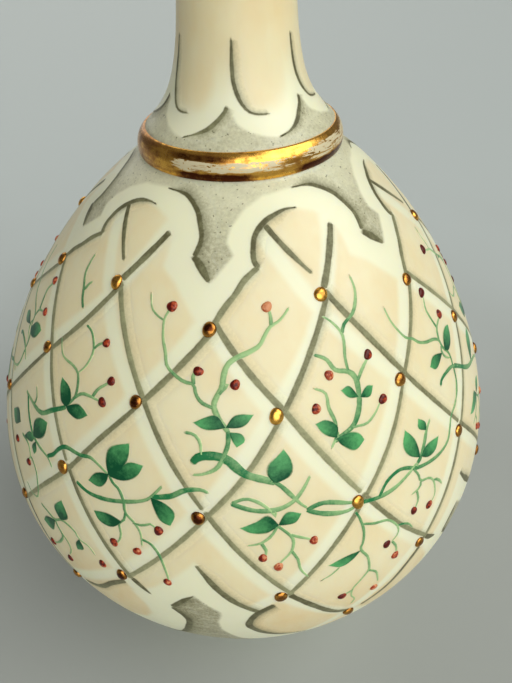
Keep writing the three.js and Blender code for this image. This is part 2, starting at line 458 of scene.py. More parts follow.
# Lines of the borders that repeat six times, each drawn so that its shaded side is on its left. Each line:
# its width and its shade's in millimetres, strength of the shade, depth of the colour, shares of the width
# at both ends, and points
BORDER_LINES = [
    (0.85, 2.8, 0.68, 0.8, (0.15, 0.95),
     [(-36, 94.3), (-28, 94), (-23, 93), (-18, 90.5), (-15.5, 88), (-14, 84.5), (-15.3, 81)]),
    (1.5, 2.0, 0.68, 0.8, (0.7, 0.5), [(-16, 81), (-13.5, 79.6), (-9, 76)]),
    (1.0, 1.9, 0.6, 0.8, (0.2, 0.9),
     [(23, 90.2), (18, 90.3), (13, 89.5), (8.5, 88), (5, 85.5), (3.7, 82.5), (4, 80), (5.7, 78.8)]),
    (1.1, 1.5, 0.5, 0.45, (0.9, 1),
     [(5.8, 79.3), (4.5, 78.8), (1, 76.5), (-1.8, 74), (-4.8, 71.5), (-7.2, 68.6), (-7.9, 67.6)]),
    (1.1, 0.6, 0.5, 0.6, (1, 0.6), [(8.5, 88), (21.2, 76.2)]),
    (1.35, 0.6, 0.5, 0.65, (0.9, 1), [(33.9, 85.4), (28.5, 79.3), (23, 72.8)]),
    (1.2, 2.2, 0.68, 0.8, (0.15, 0.9), [(-8.8, 5.6), (-11, 3), (-13.7, -1)]),
    (1.5, 2.8, 0.68, 0.8, (0.7, 0.3),
     [(-13.7, -1), (-11.5, -4), (-10.5, -7), (-10.8, -11), (-12, -16), (-14, -21), (-19, -26.5)]),
    (1.5, 2.6, 0.68, 0.8, (0.9, 0.35),
     [(5.9, 3), (3, 0.3), (1.5, -3), (1.2, -6.5), (2.2, -10), (4.5, -13.5), (8, -17), (14, -20.8)]),
    (1.45, 2.0, 0.6, 0.7, (0.45, 0.8), [(-8.7, 15.8), (-7, 12.5), (-4.5, 8.5), (-1, 4), (3, 0.5)]),
    (1.4, 0.7, 0.4, 0.7, (0.9, 0.3), [(-21.3, 6.3), (-19.6, 4.3), (-17.3, 2)]),
    (1.4, 1.2, 0.4, 0.7, (0.9, 0.9), [(-22.7, 4), (-26, 0), (-30, -6), (-35.5, -10.4)]),
    (1.4, 1.4, 0.4, 0.7, (0.9, 0.9), [(8.3, 6.2), (13, 0), (18, -7), (22.6, -10.6)]),
    (0.85, 1.7, 0.6, 0.8, (0.8, 0.15),
     [(-8.5, 112.4), (-10, 111), (-14, 109.2), (-20, 107.5), (-28, 106), (-36, 105.2)]),
    (0.7, 1.7, 0.6, 0.8, (0.55, 0.4),
     [(-5, 124), (-5, 119), (-3.5, 116), (1, 113), (7, 110.8), (14, 110), (22, 109.9)]),
]

# Sprigs by lozenge. Each is painted at its own place and again at the given turns round the body.
# Stems are lists of points. A leaf is (base, points of one side, tip, points of the other side).
# The depth says how much darker than the others a sprig is painted, mostly as painted shade on sprigs at the
# body's shaded left.
SPRIGS = [
    {
        "turns": (0, 180),
        "heavy": [
            [(-10, 39.8), (-8.5, 41.5), (-5.5, 42), (-3, 41.3), (-1, 39.5), (0.5, 38.3), (3, 37.4),
             (6, 36.4)],
        ],
        "vines": [
            [(5, 37), (7, 35.5), (9, 33), (10.5, 31), (12, 29.5)],
            [(-3, 47), (-3, 44.5), (-3.8, 42), (-5, 39.5), (-7.5, 38), (-9.8, 37.5)],
            [(-2, 31.8), (2, 30.3), (6, 30.2), (9, 31.5), (11, 33.8), (12.8, 37)],
        ],
        "twigs": [
            [(-5.2, 54.4), (-4.5, 55.2), (-3.2, 56.5)],
            [(7.2, 67.5), (7.2, 70)],
            [(-6, 51.7), (-8.5, 52.5), (-10, 54), (-10.8, 56), (-13, 56.3), (-15.5, 57.5), (-17.5, 59),
             (-18.3, 61.5), (-19.5, 64), (-20.2, 67.5), (-19.5, 69.5)],
            [(-10.8, 56.2), (-11, 58)],
            [(-12, 46.2), (-9.8, 46), (-8.5, 44.5), (-8.2, 42.3)],
            [(-2, 32), (0.5, 33), (3, 32), (5, 30), (6, 28.5)],
        ],
        "tendrils": [[(-20.3, 67.6), (-22.5, 68.3), (-24.5, 69.7), (-25.7, 72.5)]],
        "washes": [
            [(-3.2, 47.4), (-4.8, 49.4), (-6.1, 52), (-5.6, 54), (-4.5, 56), (-4.3, 58), (-3.5, 60.3),
             (-1.5, 61.7), (1.5, 62.8), (4, 64), (5.5, 66), (7, 67.5), (9.5, 68.5), (12.5, 70.8)],
        ],
        "leaves": [
            ((-3.8, 48), [(-5.4, 50.2), (-7.5, 49.8)], (-10.4, 48.4), [(-7.5, 47.3)]),
            ((-3.4, 47.8), [(-1.6, 50.4)], (2.4, 50.7), [(0, 48.3)]),
            ((-2.8, 47.3), [(-0.5, 46.8), (0.3, 45.3)], (-1.3, 43.9), [(-2.2, 45.5)]),
            ((6, 36.2), [(4.7, 38), (5, 40.2), (6.5, 41.8)], (7.9, 43.4), [(9.2, 40.5), (8.8, 37.6)]),
        ],
        "berries": [(-1.7, 56.5), (-18.8, 70.6), (-10, 58.7)],
        "pale_berries": [(6.5, 71.3)],
    },
    {
        "turns": (0, 180),
        "vines": [
            [(18.3, 43), (20.5, 43.8), (23, 45.2), (24.5, 47.5), (25.3, 50), (25.5, 54), (24, 56),
             (21, 57), (19.3, 59.5), (16.3, 61)],
        ],
        "twigs": [
            [(25.7, 53.5), (27.5, 55.5), (29.6, 57.2)],
            [(24, 56), (24, 59), (24.7, 62), (24.5, 64), (22.5, 66.5), (20.3, 68)],
            [(24.7, 63.5), (26, 65.2), (29, 66.5), (31, 68.5), (32.3, 71), (32.3, 74)],
            [(20.5, 44), (23, 44.7), (26, 44.5), (28.5, 46), (30, 47.5)],
            [(19, 44.5), (19, 47), (18, 50), (17.8, 53), (15.2, 54.5)],
            [(19.3, 44), (18.2, 42.8), (17.4, 41.4)],
        ],
        "leaves": [
            ((25.4, 50.4), [(23.5, 53.1)], (21.2, 52.8), [(23, 50.9)]),
            ((25.6, 50.3), [(27.6, 51.9)], (29.4, 51.6), [(27.9, 49.7)]),
            ((18.8, 43.5), [(19.3, 46), (17, 47.7)], (14.6, 47.4), [(16.3, 45)]),
            ((18.8, 43.3), [(21.5, 43.9), (23.8, 43)], (24.9, 41.3), [(22.5, 39.9), (20, 41.5)]),
        ],
        "berries": [(30, 57.8), (31, 48)],
        "pale_berries": [(19.3, 56.3), (15.3, 50.3)],
    },
    {
        "turns": (0, 120, 180, 300),
        "depth": 0.25,
        "twigs": [
            [(-40.5, 42), (-39.6, 43.5), (-38.6, 45.4), (-38.8, 48), (-39.8, 50.3), (-42, 51.2),
             (-45, 51.3), (-47, 52), (-49.3, 55)],
            [(-42.6, 60.8), (-40.3, 60.3), (-38.7, 59), (-37.5, 57), (-37.5, 55), (-38.3, 52.5),
             (-39.8, 50.5)],
            [(-37.5, 57), (-36.3, 58.5), (-35, 59.2)],
            [(-39.2, 44.4), (-37, 46.7), (-34.5, 47.2), (-32.5, 47.2)],
            [(-34, 47.2), (-33, 49.5), (-31.3, 51.2)],
        ],
        "leaves": [
            ((-40.5, 41.5), [(-39.6, 44), (-41, 46.3)], (-44.3, 47.3), [(-43.8, 45), (-42.3, 42.3)]),
            ((-40.5, 42), [(-37.5, 44), (-35.5, 43.8)], (-33.9, 43), [(-36.5, 41), (-39.5, 41.1)]),
        ],
        "berries": [(-34.4, 59.4), (-31.2, 47.2), (-30.2, 52.3)],
    },
    {
        "turns": (0, 60, 180, 240),
        "depth": 0.25,
        "vines": [
            [(48.8, 42), (50, 43.3), (53, 43.5), (56, 43), (59, 41)],
        ],
        "twigs": [
            [(56.5, 44), (56.3, 46.5), (54.5, 49), (54, 51), (52, 52.3), (48.5, 53.3), (46, 54.5),
             (44.5, 56), (42.5, 57), (41, 59), (39.5, 62), (39, 65.3)],
            [(54, 51), (55, 53.5), (57.5, 54.5)],
            [(55, 54), (54, 57), (53.7, 59), (54.8, 61)],
            [(53.5, 49), (54, 47), (56, 45.3)],
            [(56.3, 42), (55.8, 39), (54.5, 36.5), (52, 34.8), (50, 33.8)],
        ],
        "leaves": [
            ((52.4, 48), [(49.5, 49.4)], (47, 48), [(49.5, 46.5)]),
            ((55, 48.2), [(56.5, 50.6), (59, 51.6)], (61.2, 51.2), [(59.5, 48.2), (56.8, 47)]),
        ],
        "berries": [(58.8, 55.1), (55.2, 62.3)],
    },
    {
        "turns": (0, 180),
        "vines": [[(56.5, 42.8), (59, 41), (62, 38.5), (65, 36.5), (69, 35), (73, 33), (76, 30.5)]],
        "twigs": [[(84, 56.5), (80, 60), (77, 62.5), (74.5, 65), (72, 66), (69.8, 67)]],
        "tendrils": [[(74, 66.5), (73.5, 69), (74, 72)]],
        "leaves": [((68.5, 36.5), [(69, 39.5), (71, 41.5)], (74, 41.8), [(73.5, 38.5), (71, 36.8)])],
        "berries": [(68.8, 67.6)],
    },
    {
        "turns": (0, 180),
        "depth": 0.3,
        "vines": [
            [(-40.3, 42), (-41.5, 41), (-44.5, 38.7), (-47.5, 36), (-50, 35.5), (-53, 35.8), (-56, 36)],
            [(-55, 36), (-53, 32.5), (-51, 30), (-49, 28.3), (-46, 27.5), (-43, 27), (-41.2, 25.3)],
            [(-43, 27.5), (-41.5, 29), (-40, 31.5), (-38, 33.2), (-34, 33.5), (-31.5, 34.3), (-29, 33.5),
             (-26.5, 32.3)],
        ],
        "twigs": [
            [(-51.3, 36), (-51, 38), (-52.5, 40.3)],
            [(-54.5, 25), (-51, 24.8), (-49.5, 22.5), (-49.8, 21)],
            [(-48.5, 22), (-46.7, 20), (-46, 17), (-45.8, 14), (-46.5, 12), (-49, 11.5), (-51, 13)],
            [(-45.8, 63.2), (-47.8, 65), (-49.6, 67.5), (-51.8, 70), (-52.2, 72.8), (-51.8, 75)],
            [(-48.8, 67), (-47.8, 68.8), (-46.8, 69.6)],
        ],
        "leaves": [
            ((-48.7, 29.3), [(-49.8, 31.8), (-48, 34.3)], (-45, 35.2), [(-45.3, 31.8), (-47, 29.4)]),
            ((-53.3, 26.3), [(-51, 28.3)], (-48.5, 28.5), [(-49.8, 26.3)]),
            ((-48.3, 27), [(-49.2, 25.6)], (-48, 23.9), [(-47.3, 25.8)]),
            ((-56, 27), [(-58, 29.2)], (-61.3, 26.6), [(-59, 24.2)]),
        ],
        "berries": [(-50, 20), (-56.5, 21.3)],
    },
    {
        "turns": (0, 120, 180, 300),
        "depth": 0.25,
        "vines": [
            [(-34.3, 26.8), (-31, 25.8), (-27, 26.2), (-23, 27.5), (-19.5, 29), (-17.5, 30.5), (-15.2, 34)],
            [(-17, 30.8), (-13.5, 32), (-11, 33.8), (-8, 34.5), (-6.2, 33.8)],
        ],
        "twigs": [
            [(-26.7, 32.7), (-25.5, 31), (-24, 30), (-22.8, 27.5), (-22.3, 25), (-20.3, 23.2), (-19, 21),
             (-18.6, 17.5)],
            [(-20.5, 23), (-18.5, 23.3), (-17.2, 24.2), (-16, 23.5)],
            [(-18.8, 19.5), (-17, 19), (-15.5, 17), (-14.5, 14), (-13.6, 10)],
            [(-22.3, 25), (-22.5, 23), (-23.5, 21.5), (-23, 19), (-23.5, 16.5)],
        ],
        "leaves": [
            ((-26.2, 32.5), [(-27.6, 35.5), (-26.9, 38.8)], (-22.9, 41.3), [(-22.9, 38.2), (-24, 35)]),
            ((-26, 32.4), [(-24.2, 35.2), (-22.4, 37)], (-19.3, 37.4), [(-20.6, 34.6), (-23.2, 32.5)]),
            ((-26.8, 32.5), [(-29.5, 31.5)], (-31.3, 28.7), [(-28.5, 28.6), (-27, 30.5)]),
            ((-23.3, 23), [(-26, 22.9)], (-29.4, 22), [(-27.8, 20), (-25, 19.9)]),
            ((-17, 30), [(-14.5, 30), (-12.6, 28)], (-13.2, 24.8), [(-15, 25.6), (-16.2, 27.5)]),
        ],
        "berries": [(-19.6, 15.7), (-15.5, 23), (-13.8, 8.7), (-24.5, 15.7)],
    },
    {
        "turns": (0, 60, 180, 240),
        "twigs": [
            [(6.3, 26.5), (5, 24), (3, 22.3), (0.5, 21.8)],
            [(3.3, 22.2), (4.2, 20), (3.7, 19)],
            [(6.5, 26), (8, 24.3), (9, 22.5), (8.8, 20), (8, 18.5), (6.8, 17)],
            [(8.5, 23.8), (10, 23), (12, 22)],
            [(8.6, 19.7), (9.8, 17), (10.3, 14), (11.9, 11)],
        ],
        "leaves": [
            ((6.4, 27.8), [(4.5, 28.9), (2.3, 27.6)], (-0.8, 26.2), [(1.5, 25), (4.3, 25)]),
            ((6.6, 27.6), [(8, 29.3)], (10.8, 28.7), [(9.5, 26.8), (7.6, 26.4)]),
        ],
        "pale_berries": [(3.5, 18.4), (6.3, 15.6), (12.8, 21.4)],
    },
    {
        "turns": (0, 180),
        "vines": [
            [(37.5, 30.5), (39.5, 33.5), (40.8, 36), (42.7, 37.8)],
            [(12, 29.3), (14.5, 30.1), (17, 29.6), (19.5, 28.6), (21.3, 28)],
            [(12, 29), (15, 27.5), (19, 26.6), (21.3, 27.2)],
            [(22.4, 27.5), (26, 27), (30, 27.3), (34, 28.8), (36.5, 30)],
            [(26.5, 27), (28.5, 29.8), (31.5, 31), (34, 30.3), (36, 29), (40, 28), (44, 27.8), (47, 28.8),
             (48.5, 31), (50, 33.5), (53, 35), (55, 38), (56, 40)],
        ],
        "twigs": [
            [(35.5, 29), (36.5, 27), (37, 25), (39.5, 24), (40.8, 22), (41, 19), (40.5, 17.5), (39.4, 16.8)],
            [(37, 25), (36.5, 23.5), (34, 23)],
            [(35.7, 22.8), (35.9, 20.5), (35, 18.8)],
            [(41.2, 22.3), (42.5, 21), (43.5, 19)],
        ],
        "leaves": [
            ((37.5, 31), [(34.8, 33), (33.7, 36)], (34.8, 39.4), [(37, 35.5)]),
            ((38, 30.8), [(40, 32.5)], (44.3, 32.3), [(42.5, 29.8), (40, 29.5)]),
            ((40.5, 36), [(38.6, 37.6)], (39, 39.9), [(40.9, 37.8)]),
        ],
        "berries": [(39, 16.5), (34.6, 18.2)],
    },
    {
        "turns": (0, 60, 180, 240),
        "twigs": [
            [(21, 26), (22, 23.5), (22.7, 20), (22.5, 17), (22, 15), (23.5, 12), (24, 9), (24, 7),
             (22.5, 4.5), (21, 2), (21, -1), (22, -3.5), (21.5, -6)],
            [(24, 7), (25.8, 5), (26.5, 2), (26.8, 0)],
            [(21.2, 1.6), (19.6, 0.8)],
            [(22.8, 21.8), (25, 20.8), (28, 20), (30, 17.5), (30.6, 15.5), (30.2, 14), (29, 13)],
            [(29, 13), (30, 11), (30.3, 9)],
            [(30.8, 16.8), (33, 15.5), (34.4, 13)],
        ],
        "tendrils": [[(18, 12), (16, 10), (14, 9)]],
        "leaves": [((21.5, 14.3), [(19, 14.5)], (15.3, 13.3), [(18, 11.8), (20.3, 12.8)])],
        "berries": [(18.9, 0.3), (27.8, 12.9)],
        "pale_berries": [(26.2, -2), (30.1, 7.5)],
    },
    {
        "turns": (0, 180),
        "depth": 0.3,
        "twigs": [
            [(-45, 11.5), (-42, 11), (-40, 10.7), (-38, 12.5), (-36, 12.7), (-34, 12), (-33, 10.5),
             (-30.5, 10), (-29, 8)],
            [(-39.5, 9.5), (-38, 7), (-39, 4), (-40.5, 1.5), (-41.8, 0)],
            [(-38.5, 8), (-36.5, 6), (-36, 3.5), (-37, 0.6)],
        ],
        "leaves": [
            ((-38, 12.3), [(-39.9, 15)], (-37.8, 19), [(-36, 15)]),
            ((-40, 10.5), [(-43, 8.8)], (-44.6, 5.9), [(-41.3, 5.8)]),
            ((-33, 10.3), [(-34, 8.2)], (-33.9, 5.9), [(-32, 8)]),
        ],
        "berries": [(-27.5, 6.5), (-42.8, -0.8), (-37.2, -1.2)],
    },
]


def turned(outline, steps):
    """A grid to be set round an outline, and each vertex's radius, height, azimuth and row of the outline."""
    mesh = bmesh.new()
    bmesh.ops.create_grid(mesh, x_segments=steps, y_segments=len(outline) - 1, size=1)
    grid = (np.array([vert.co for vert in mesh.verts])[:, :2] + 1) / 2
    columns, rows = np.rint(grid * (steps, len(outline) - 1)).astype(int).T
    radius, height = np.asarray(outline, float)[rows].T
    return mesh, radius, height, columns * 360 / steps - 180, rows


def closed(mesh):
    """Joins a turned surface at its seam and on its axis, with its faces pointing out."""
    bmesh.ops.remove_doubles(mesh, verts=mesh.verts[:], dist=1e-7)
    bmesh.ops.recalc_face_normals(mesh, faces=mesh.faces[:])
    return mesh


def settle(mesh, points):
    for vert, point in zip(mesh.verts, points.tolist()):
        vert.co = point


def paint_layer(verts, layer, *values):
    """Paints two or three values on each vertex."""
    painted = np.column_stack([*values, 0 * values[0]])[:, :3]
    for vert, value in zip(verts, painted.tolist()):
        vert[layer] = value


def placed(name, data):
    """Puts a new object with a mesh, a camera or a light in the scene."""
    made = bpy.data.objects.new(name, data)
    bpy.context.scene.collection.objects.link(made)
    return made


def placed_mesh(name, mesh, material):
    data = bpy.data.meshes.new(name)
    mesh.to_mesh(data)
    mesh.free()
    data.materials.append(material)
    return placed(name, data)


def finished(name, mesh, material, body="vessel", replaced=()):
    """Makes an object of a finished mesh with its material, hangs it on its body and hides the parts it
    replaces.
    """
    for edge in mesh.edges:
        edge.smooth = not edge.is_boundary
    piece = placed_mesh(name, mesh, material)
    piece.data.polygons.foreach_set("use_smooth", np.ones(len(piece.data.polygons), bool))
    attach(piece, body)
    if replaced:
        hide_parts(*replaced)
    return piece


# Cross-section of a stroke from its crisp side to its shaded side: shares of half its width, of the crisp
# edge's blur and of the shade's width, then how far paint and shade cover the ground there
SECTION = np.array([
    (-1, -0.5, 0, 0, 0),
    (-1, 0.5, 0, 1, 0),
    (0, 0, 0, 1, 0),
    (1, 0, 0, 1, 0),
    (1, 0, 0.12, 0, 0.85),
    (1, 0, 0.45, 0, 0.42),
    (1, 0, 1, 0, 0),
])
CRISP_EDGE = 0.28

# Millimetres between cross-sections of a stroke, the fewest steps it has, and how far these crowd towards
# its ends
STROKE_STEP = 0.9
FEWEST_STEPS = 6
CROWDING = 0.4

# Shares of a stroke's length over which it swells in and tapers out, its wavering as pairs of a share of its
# width and radians per millimetre, how far its ends close, and how slowly its shade narrows with it
SWELLING = (0, 0.4)
TAPERING = (0.45, 1)
WAVERING = ((0.06, 0.9), (0.04, 2.3))
END_CLOSING = 0.94
SHADE_HOLD = 1.3

# Millimetres from the middle of a trellis line over which it stops darkening what is painted over it
OVER_LINE = (0.4, 1.0)

# Millimetres over which paint thins out at the end of a stroke and at the edge of a leaf
END_FADE = 0.35
LEAF_FADE = 0.22

# How much the depth of the colour varies from stroke to stroke and from drop to drop
STROKE_VARIATION = 0.06
DROP_VARIATION = 0.22

# Steps along a leaf and across it, points along each side of it, how far over the stem it starts, as a share
# of its length, and how far from its middle it reaches, as a share of its width
LEAF_STEPS = (14, 10)
LEAF_POINTS = 25
LEAF_OVERLAP = 0.05
LEAF_REACH = 0.58

# Segments of a drop round it and from top to bottom, how far it is out of round, and the range of its size
DROP_SEGMENTS = (22, 12)
DROP_UNEVENNESS = (0.07, 0.05)
DROP_SIZES = (0.96, 1.04)


def out_of_round(points, random, twofold, threefold):
    """A factor for each point's distance from the middle, which leaves a round drop a little uneven."""
    phase = random.uniform(0, 2 * math.pi, 2)
    turn = np.arctan2(points[:, 1], points[:, 0])
    return 1 + twofold * np.sin(2 * turn + phase[0]) + threefold * np.sin(3 * turn + phase[1])


class Brush:
    """Raised paint on the glass: strokes, leaves and drops, gathered in one mesh.

    Paint that covers less lies lower, so where strokes cross, the stronger one shows.
    """

    def __init__(self, seed, relief):
        self.mesh = bmesh.new()
        for name in ("brush", "paint", "grounds", "strengths"):
            self.mesh.verts.layers.float_vector.new(name)
        self.number = self.mesh.verts.layers.int.new("number")
        self.random = np.random.default_rng(seed)
        self.relief = relief
        self.count = 0
        self.looks = []

    def sheet(self, along, across):
        """A grid whose places are shares: 0 to 1 along the stroke, and -1 to 1 across it."""
        grid = bmesh.ops.create_grid(self.mesh, x_segments=along, y_segments=across, size=1)
        places = self.counted(grid["verts"])
        return (places[:, 0] + 1) / 2, places[:, 1]

    def counted(self, verts):
        """Numbers new vertices in the order in which they are laid on the glass, and gives their places."""
        for vert in verts:
            vert[self.number] = self.count
            self.count += 1
        return np.array([vert.co for vert in verts])

    def lay(self, azimuth, arc, cover, along, across, tone):
        """Keeps where the last vertices go, how far they cover, where in the stroke they are and its tone."""
        self.looks.append(np.column_stack([azimuth, arc, cover, along, across, np.full(len(arc), tone)]))

    def varied(self, tone):
        return tone + self.random.normal(0, STROKE_VARIATION)

    def stroke(self, points, width, ends, shade, strength, tone):
        """One pull of the brush. Ends are the shares of the width that it starts and stops with."""
        flat, scale = flattened(points)
        length = lengths_along(flat)[-1]
        steps = max(FEWEST_STEPS, round(length / STROKE_STEP))
        along, across = self.sheet(steps, len(SECTION) - 1)
        along = (1 - CROWDING) * along + CROWDING * (0.5 - 0.5 * np.cos(math.pi * along))
        spine = catmull_rom(flat, 4 * steps + 1)
        spine[:, 0] /= scale
        per_degree = per_degree_at(spine[:, 1])
        heading = np.gradient(spine, axis=0) * np.column_stack([per_degree, np.ones(len(spine))])
        heading /= np.linalg.norm(heading, axis=1)[:, None]
        paths = np.column_stack([spine, heading, per_degree]).T
        place = np.linspace(0, 1, len(spine))
        azimuth, arc, right, up, per_degree = (np.interp(along, place, path) for path in paths)
        pressure = self.pressure(along, length, width, ends)
        side = np.rint((across + 1) / 2 * (len(SECTION) - 1)).astype(int)
        core, edge, soft, paint, wash = SECTION[side].T
        off = core * width / 2 * pressure + edge * CRISP_EDGE
        off = off + soft * shade * np.minimum(pressure * SHADE_HOLD, 1)
        from_end = np.minimum(along, 1 - along) * length
        cover = (paint + strength * wash) * smooth_share(from_end, 0, END_FADE)
        tone = self.varied(tone)
        self.lay(azimuth - off * up / per_degree, arc + off * right, cover, along, across, tone)

    def pressure(self, along, length, width, ends):
        """Share of the width along a stroke: it swells in, wavers, tapers out and ends round."""
        start, stop = ends
        share = 1 - (1 - start) * (1 - smooth_share(along, *SWELLING))
        share *= 1 - (1 - stop) * smooth_share(along, *TAPERING)
        wavering = 1
        for (part, pace), phase in zip(WAVERING, self.random.uniform(0, 2 * math.pi, len(WAVERING))):
            wavering = wavering + part * np.sin(along * length * pace + phase)
        from_end = np.minimum(along, 1 - along) * length
        end_width = width * np.where(along < 0.5, start, stop)
        cap = np.clip(1 - from_end / (0.5 * end_width + 0.05), 0, 1)
        return share * wavering * np.sqrt(1 - END_CLOSING * cap**2)

    def leaf(self, base, one_side, tip, other_side, tone):
        """A leaf given by its outline: from its base up one side to the tip, then back down the other."""
        along, across = self.sheet(*LEAF_STEPS)
        across = np.sin(across * math.pi / 2)
        base = np.add(base, np.subtract(base, tip) * LEAF_OVERLAP)
        sides = [catmull_rom([base, *side, tip], LEAF_POINTS) for side in (one_side, other_side[::-1])]
        middle = sides[1][LEAF_POINTS // 2] - sides[0][LEAF_POINTS // 2]
        reach = sides[0][-1] - sides[0][0]
        if reach[0] * middle[1] - reach[1] * middle[0] < 0:
            sides.reverse()
        place = np.linspace(0, 1, LEAF_POINTS)
        near, far = (np.column_stack([np.interp(along, place, path) for path in side.T]) for side in sides)
        spread = 0.5 + LEAF_REACH * across[:, None]
        azimuth, arc = (near * (1 - spread) + far * spread).T
        half_width = np.hypot((far - near)[:, 0] * per_degree_at(arc), (far - near)[:, 1]) / 2
        from_edge = (1 - np.abs(across)) * half_width
        self.lay(azimuth, arc, smooth_share(from_edge, 0, LEAF_FADE), along, across, self.varied(tone))

    def drop(self, azimuth, arc, width, height, tone):
        """A round drop of thick enamel."""
        round_it, down_it = DROP_SEGMENTS
        ball = bmesh.ops.create_uvsphere(self.mesh, u_segments=round_it, v_segments=down_it, radius=1)
        right, up, out = self.counted(ball["verts"]).T
        uneven = out_of_round(np.column_stack([right, up]), self.random, *DROP_UNEVENNESS)
        radius = width / 2 * uneven * self.random.uniform(*DROP_SIZES)
        azimuth = azimuth + right * radius / per_degree_at(arc)
        tone = tone + self.random.normal(0, DROP_VARIATION)
        self.lay(azimuth, arc + up * radius, out * height, right, up, tone)

    def piece(self, name, material, slot, thick=True):
        """Makes an object of all that was laid. What covers more stands higher."""
        azimuth, arc, cover, along, across, tone = np.concatenate(self.looks).T
        verts = sorted(self.mesh.verts, key=lambda vert: vert[self.number])
        for vert, point in zip(verts, on_glass(azimuth, arc, PAINT_BED + self.relief * cover).tolist()):
            vert.co = point
        from_line = np.abs(trellis_distances(azimuth, arc)).min(axis=0)
        beneath = 1 - smooth_share(from_line, *OVER_LINE)
        layers = self.mesh.verts.layers
        paint_layer(verts, layers.float_vector["brush"], along, across, tone)
        paint_layer(verts, layers.float_vector["paint"], cover, beneath)
        paint_grounds(verts, layers, azimuth, arc)
        made = finished(name, self.mesh, material)
        if thick:
            depth = made.modifiers.new("Paint depth", "SOLIDIFY")
            depth.thickness = PAINT_DEPTH * MM
            depth.offset = -1


class Finish:
    """A material and its nodes. A method that adds a node gives the node's output."""

    def __init__(self, name):
        self.material = bpy.data.materials.new(name)
        self.material.use_nodes = True
        self.tree = self.material.node_tree
        self.shader = self.tree.nodes["Principled BSDF"]
        self.places = self.node("TexCoord").outputs["Object"]

    def put(self, socket, value):
        if isinstance(value, bpy.types.NodeSocket):
            self.tree.links.new(value, socket)
        else:
            socket.default_value = value

    def set(self, **values):
        """Sets or links inputs of the shader."""
        for name, value in values.items():
            self.put(self.shader.inputs[name.replace("_", " ")], value)

    def node(self, kind, inputs=(), **settings):
        """Adds a node with its settings, and sets or links its inputs."""
        made = self.tree.nodes.new("ShaderNode" + kind)
        for name, setting in settings.items():
            setattr(made, name, setting)
        for name, value in dict(inputs).items():
            self.put(made.inputs[name], value)
        return made

    def parts(self, vector):
        return self.node("SeparateXYZ", {0: vector}).outputs

    def painted_parts(self, name):
        """The three values of a layer painted on the piece's vertices."""
        return self.parts(self.node("Attribute", attribute_name=name).outputs["Vector"])

    def stretched(self, scale):
        return self.node("Mapping", {"Scale": scale, "Vector": self.places}).outputs["Vector"]

    def noise(self, size, detail=2.0, roughness=0.5, at=None):
        """Noise whose blotches are about this many metres across."""
        inputs = {"Vector": at or self.places, "Scale": 1 / size, "Detail": detail, "Roughness": roughness}
        return self.node("TexNoise", inputs).outputs["Fac"]

    def spread(self, value, low, high, to_low=0.0, to_high=1.0):
        """Takes a value from one range to another, with soft ends."""
        inputs = {"Value": value, "From Min": low, "From Max": high, "To Min": to_low, "To Max": to_high}
        return self.node("MapRange", inputs, interpolation_type="SMOOTHSTEP").outputs["Result"]

    def uneven(self, noise, low=0.0, high=1.0):
        """Noise taken to a range, from its usual darkest to its usual lightest."""
        return self.spread(noise, 0.3, 0.7, low, high)

    def reckon(self, kind, first, second, clamp=False):
        return self.node("Math", {0: first, 1: second}, operation=kind, use_clamp=clamp).outputs[0]

    def add(self, *values, clamp=False):
        total = values[0]
        for number, value in enumerate(values[1:], 2):
            total = self.reckon("ADD", total, value, clamp and number == len(values))
        return total

    def times(self, first, second, clamp=False):
        return self.reckon("MULTIPLY", first, second, clamp)

    def less(self, first, second, clamp=False):
        return self.reckon("SUBTRACT", first, second, clamp)

    def mix(self, share, first, second):
        made = self.node("Mix", {0: share}, data_type="RGBA")
        for socket, colour in zip(made.inputs[6:8], (first, second)):
            self.put(socket, colour if isinstance(colour, bpy.types.NodeSocket) else (*colour[:3], 1))
        return made.outputs[2]

    def bump(self, height, distance, strength):
        inputs = {"Strength": strength, "Distance": distance, "Height": height}
        return self.node("Bump", inputs).outputs["Normal"]


def opal_look(finish):
    """Colour and bump of the bare opal glass: pale mint, faintly cloudy, softly rippled."""
    colours = bpy.context.scene.carafe_colours
    cloud = finish.noise(0.022, 3)
    tint = finish.mix(finish.uneven(cloud), colours.opal, colours.opal_thick)
    ripple = finish.bump(finish.noise(0.006, 2), 0.0002, 0.3)
    return tint, ripple


def opal_glass():
    """Bare opal glass."""
    finish = Finish("opal glass")
    tint, ripple = opal_look(finish)
    finish.set(Base_Color=tint, Normal=ripple, Roughness=finish.uneven(finish.noise(0.003), 0.22, 0.34))
    finish.set(Subsurface_Weight=0.15, Subsurface_Scale=0.003, Subsurface_Radius=(1, 0.9, 0.6))
    return finish.material


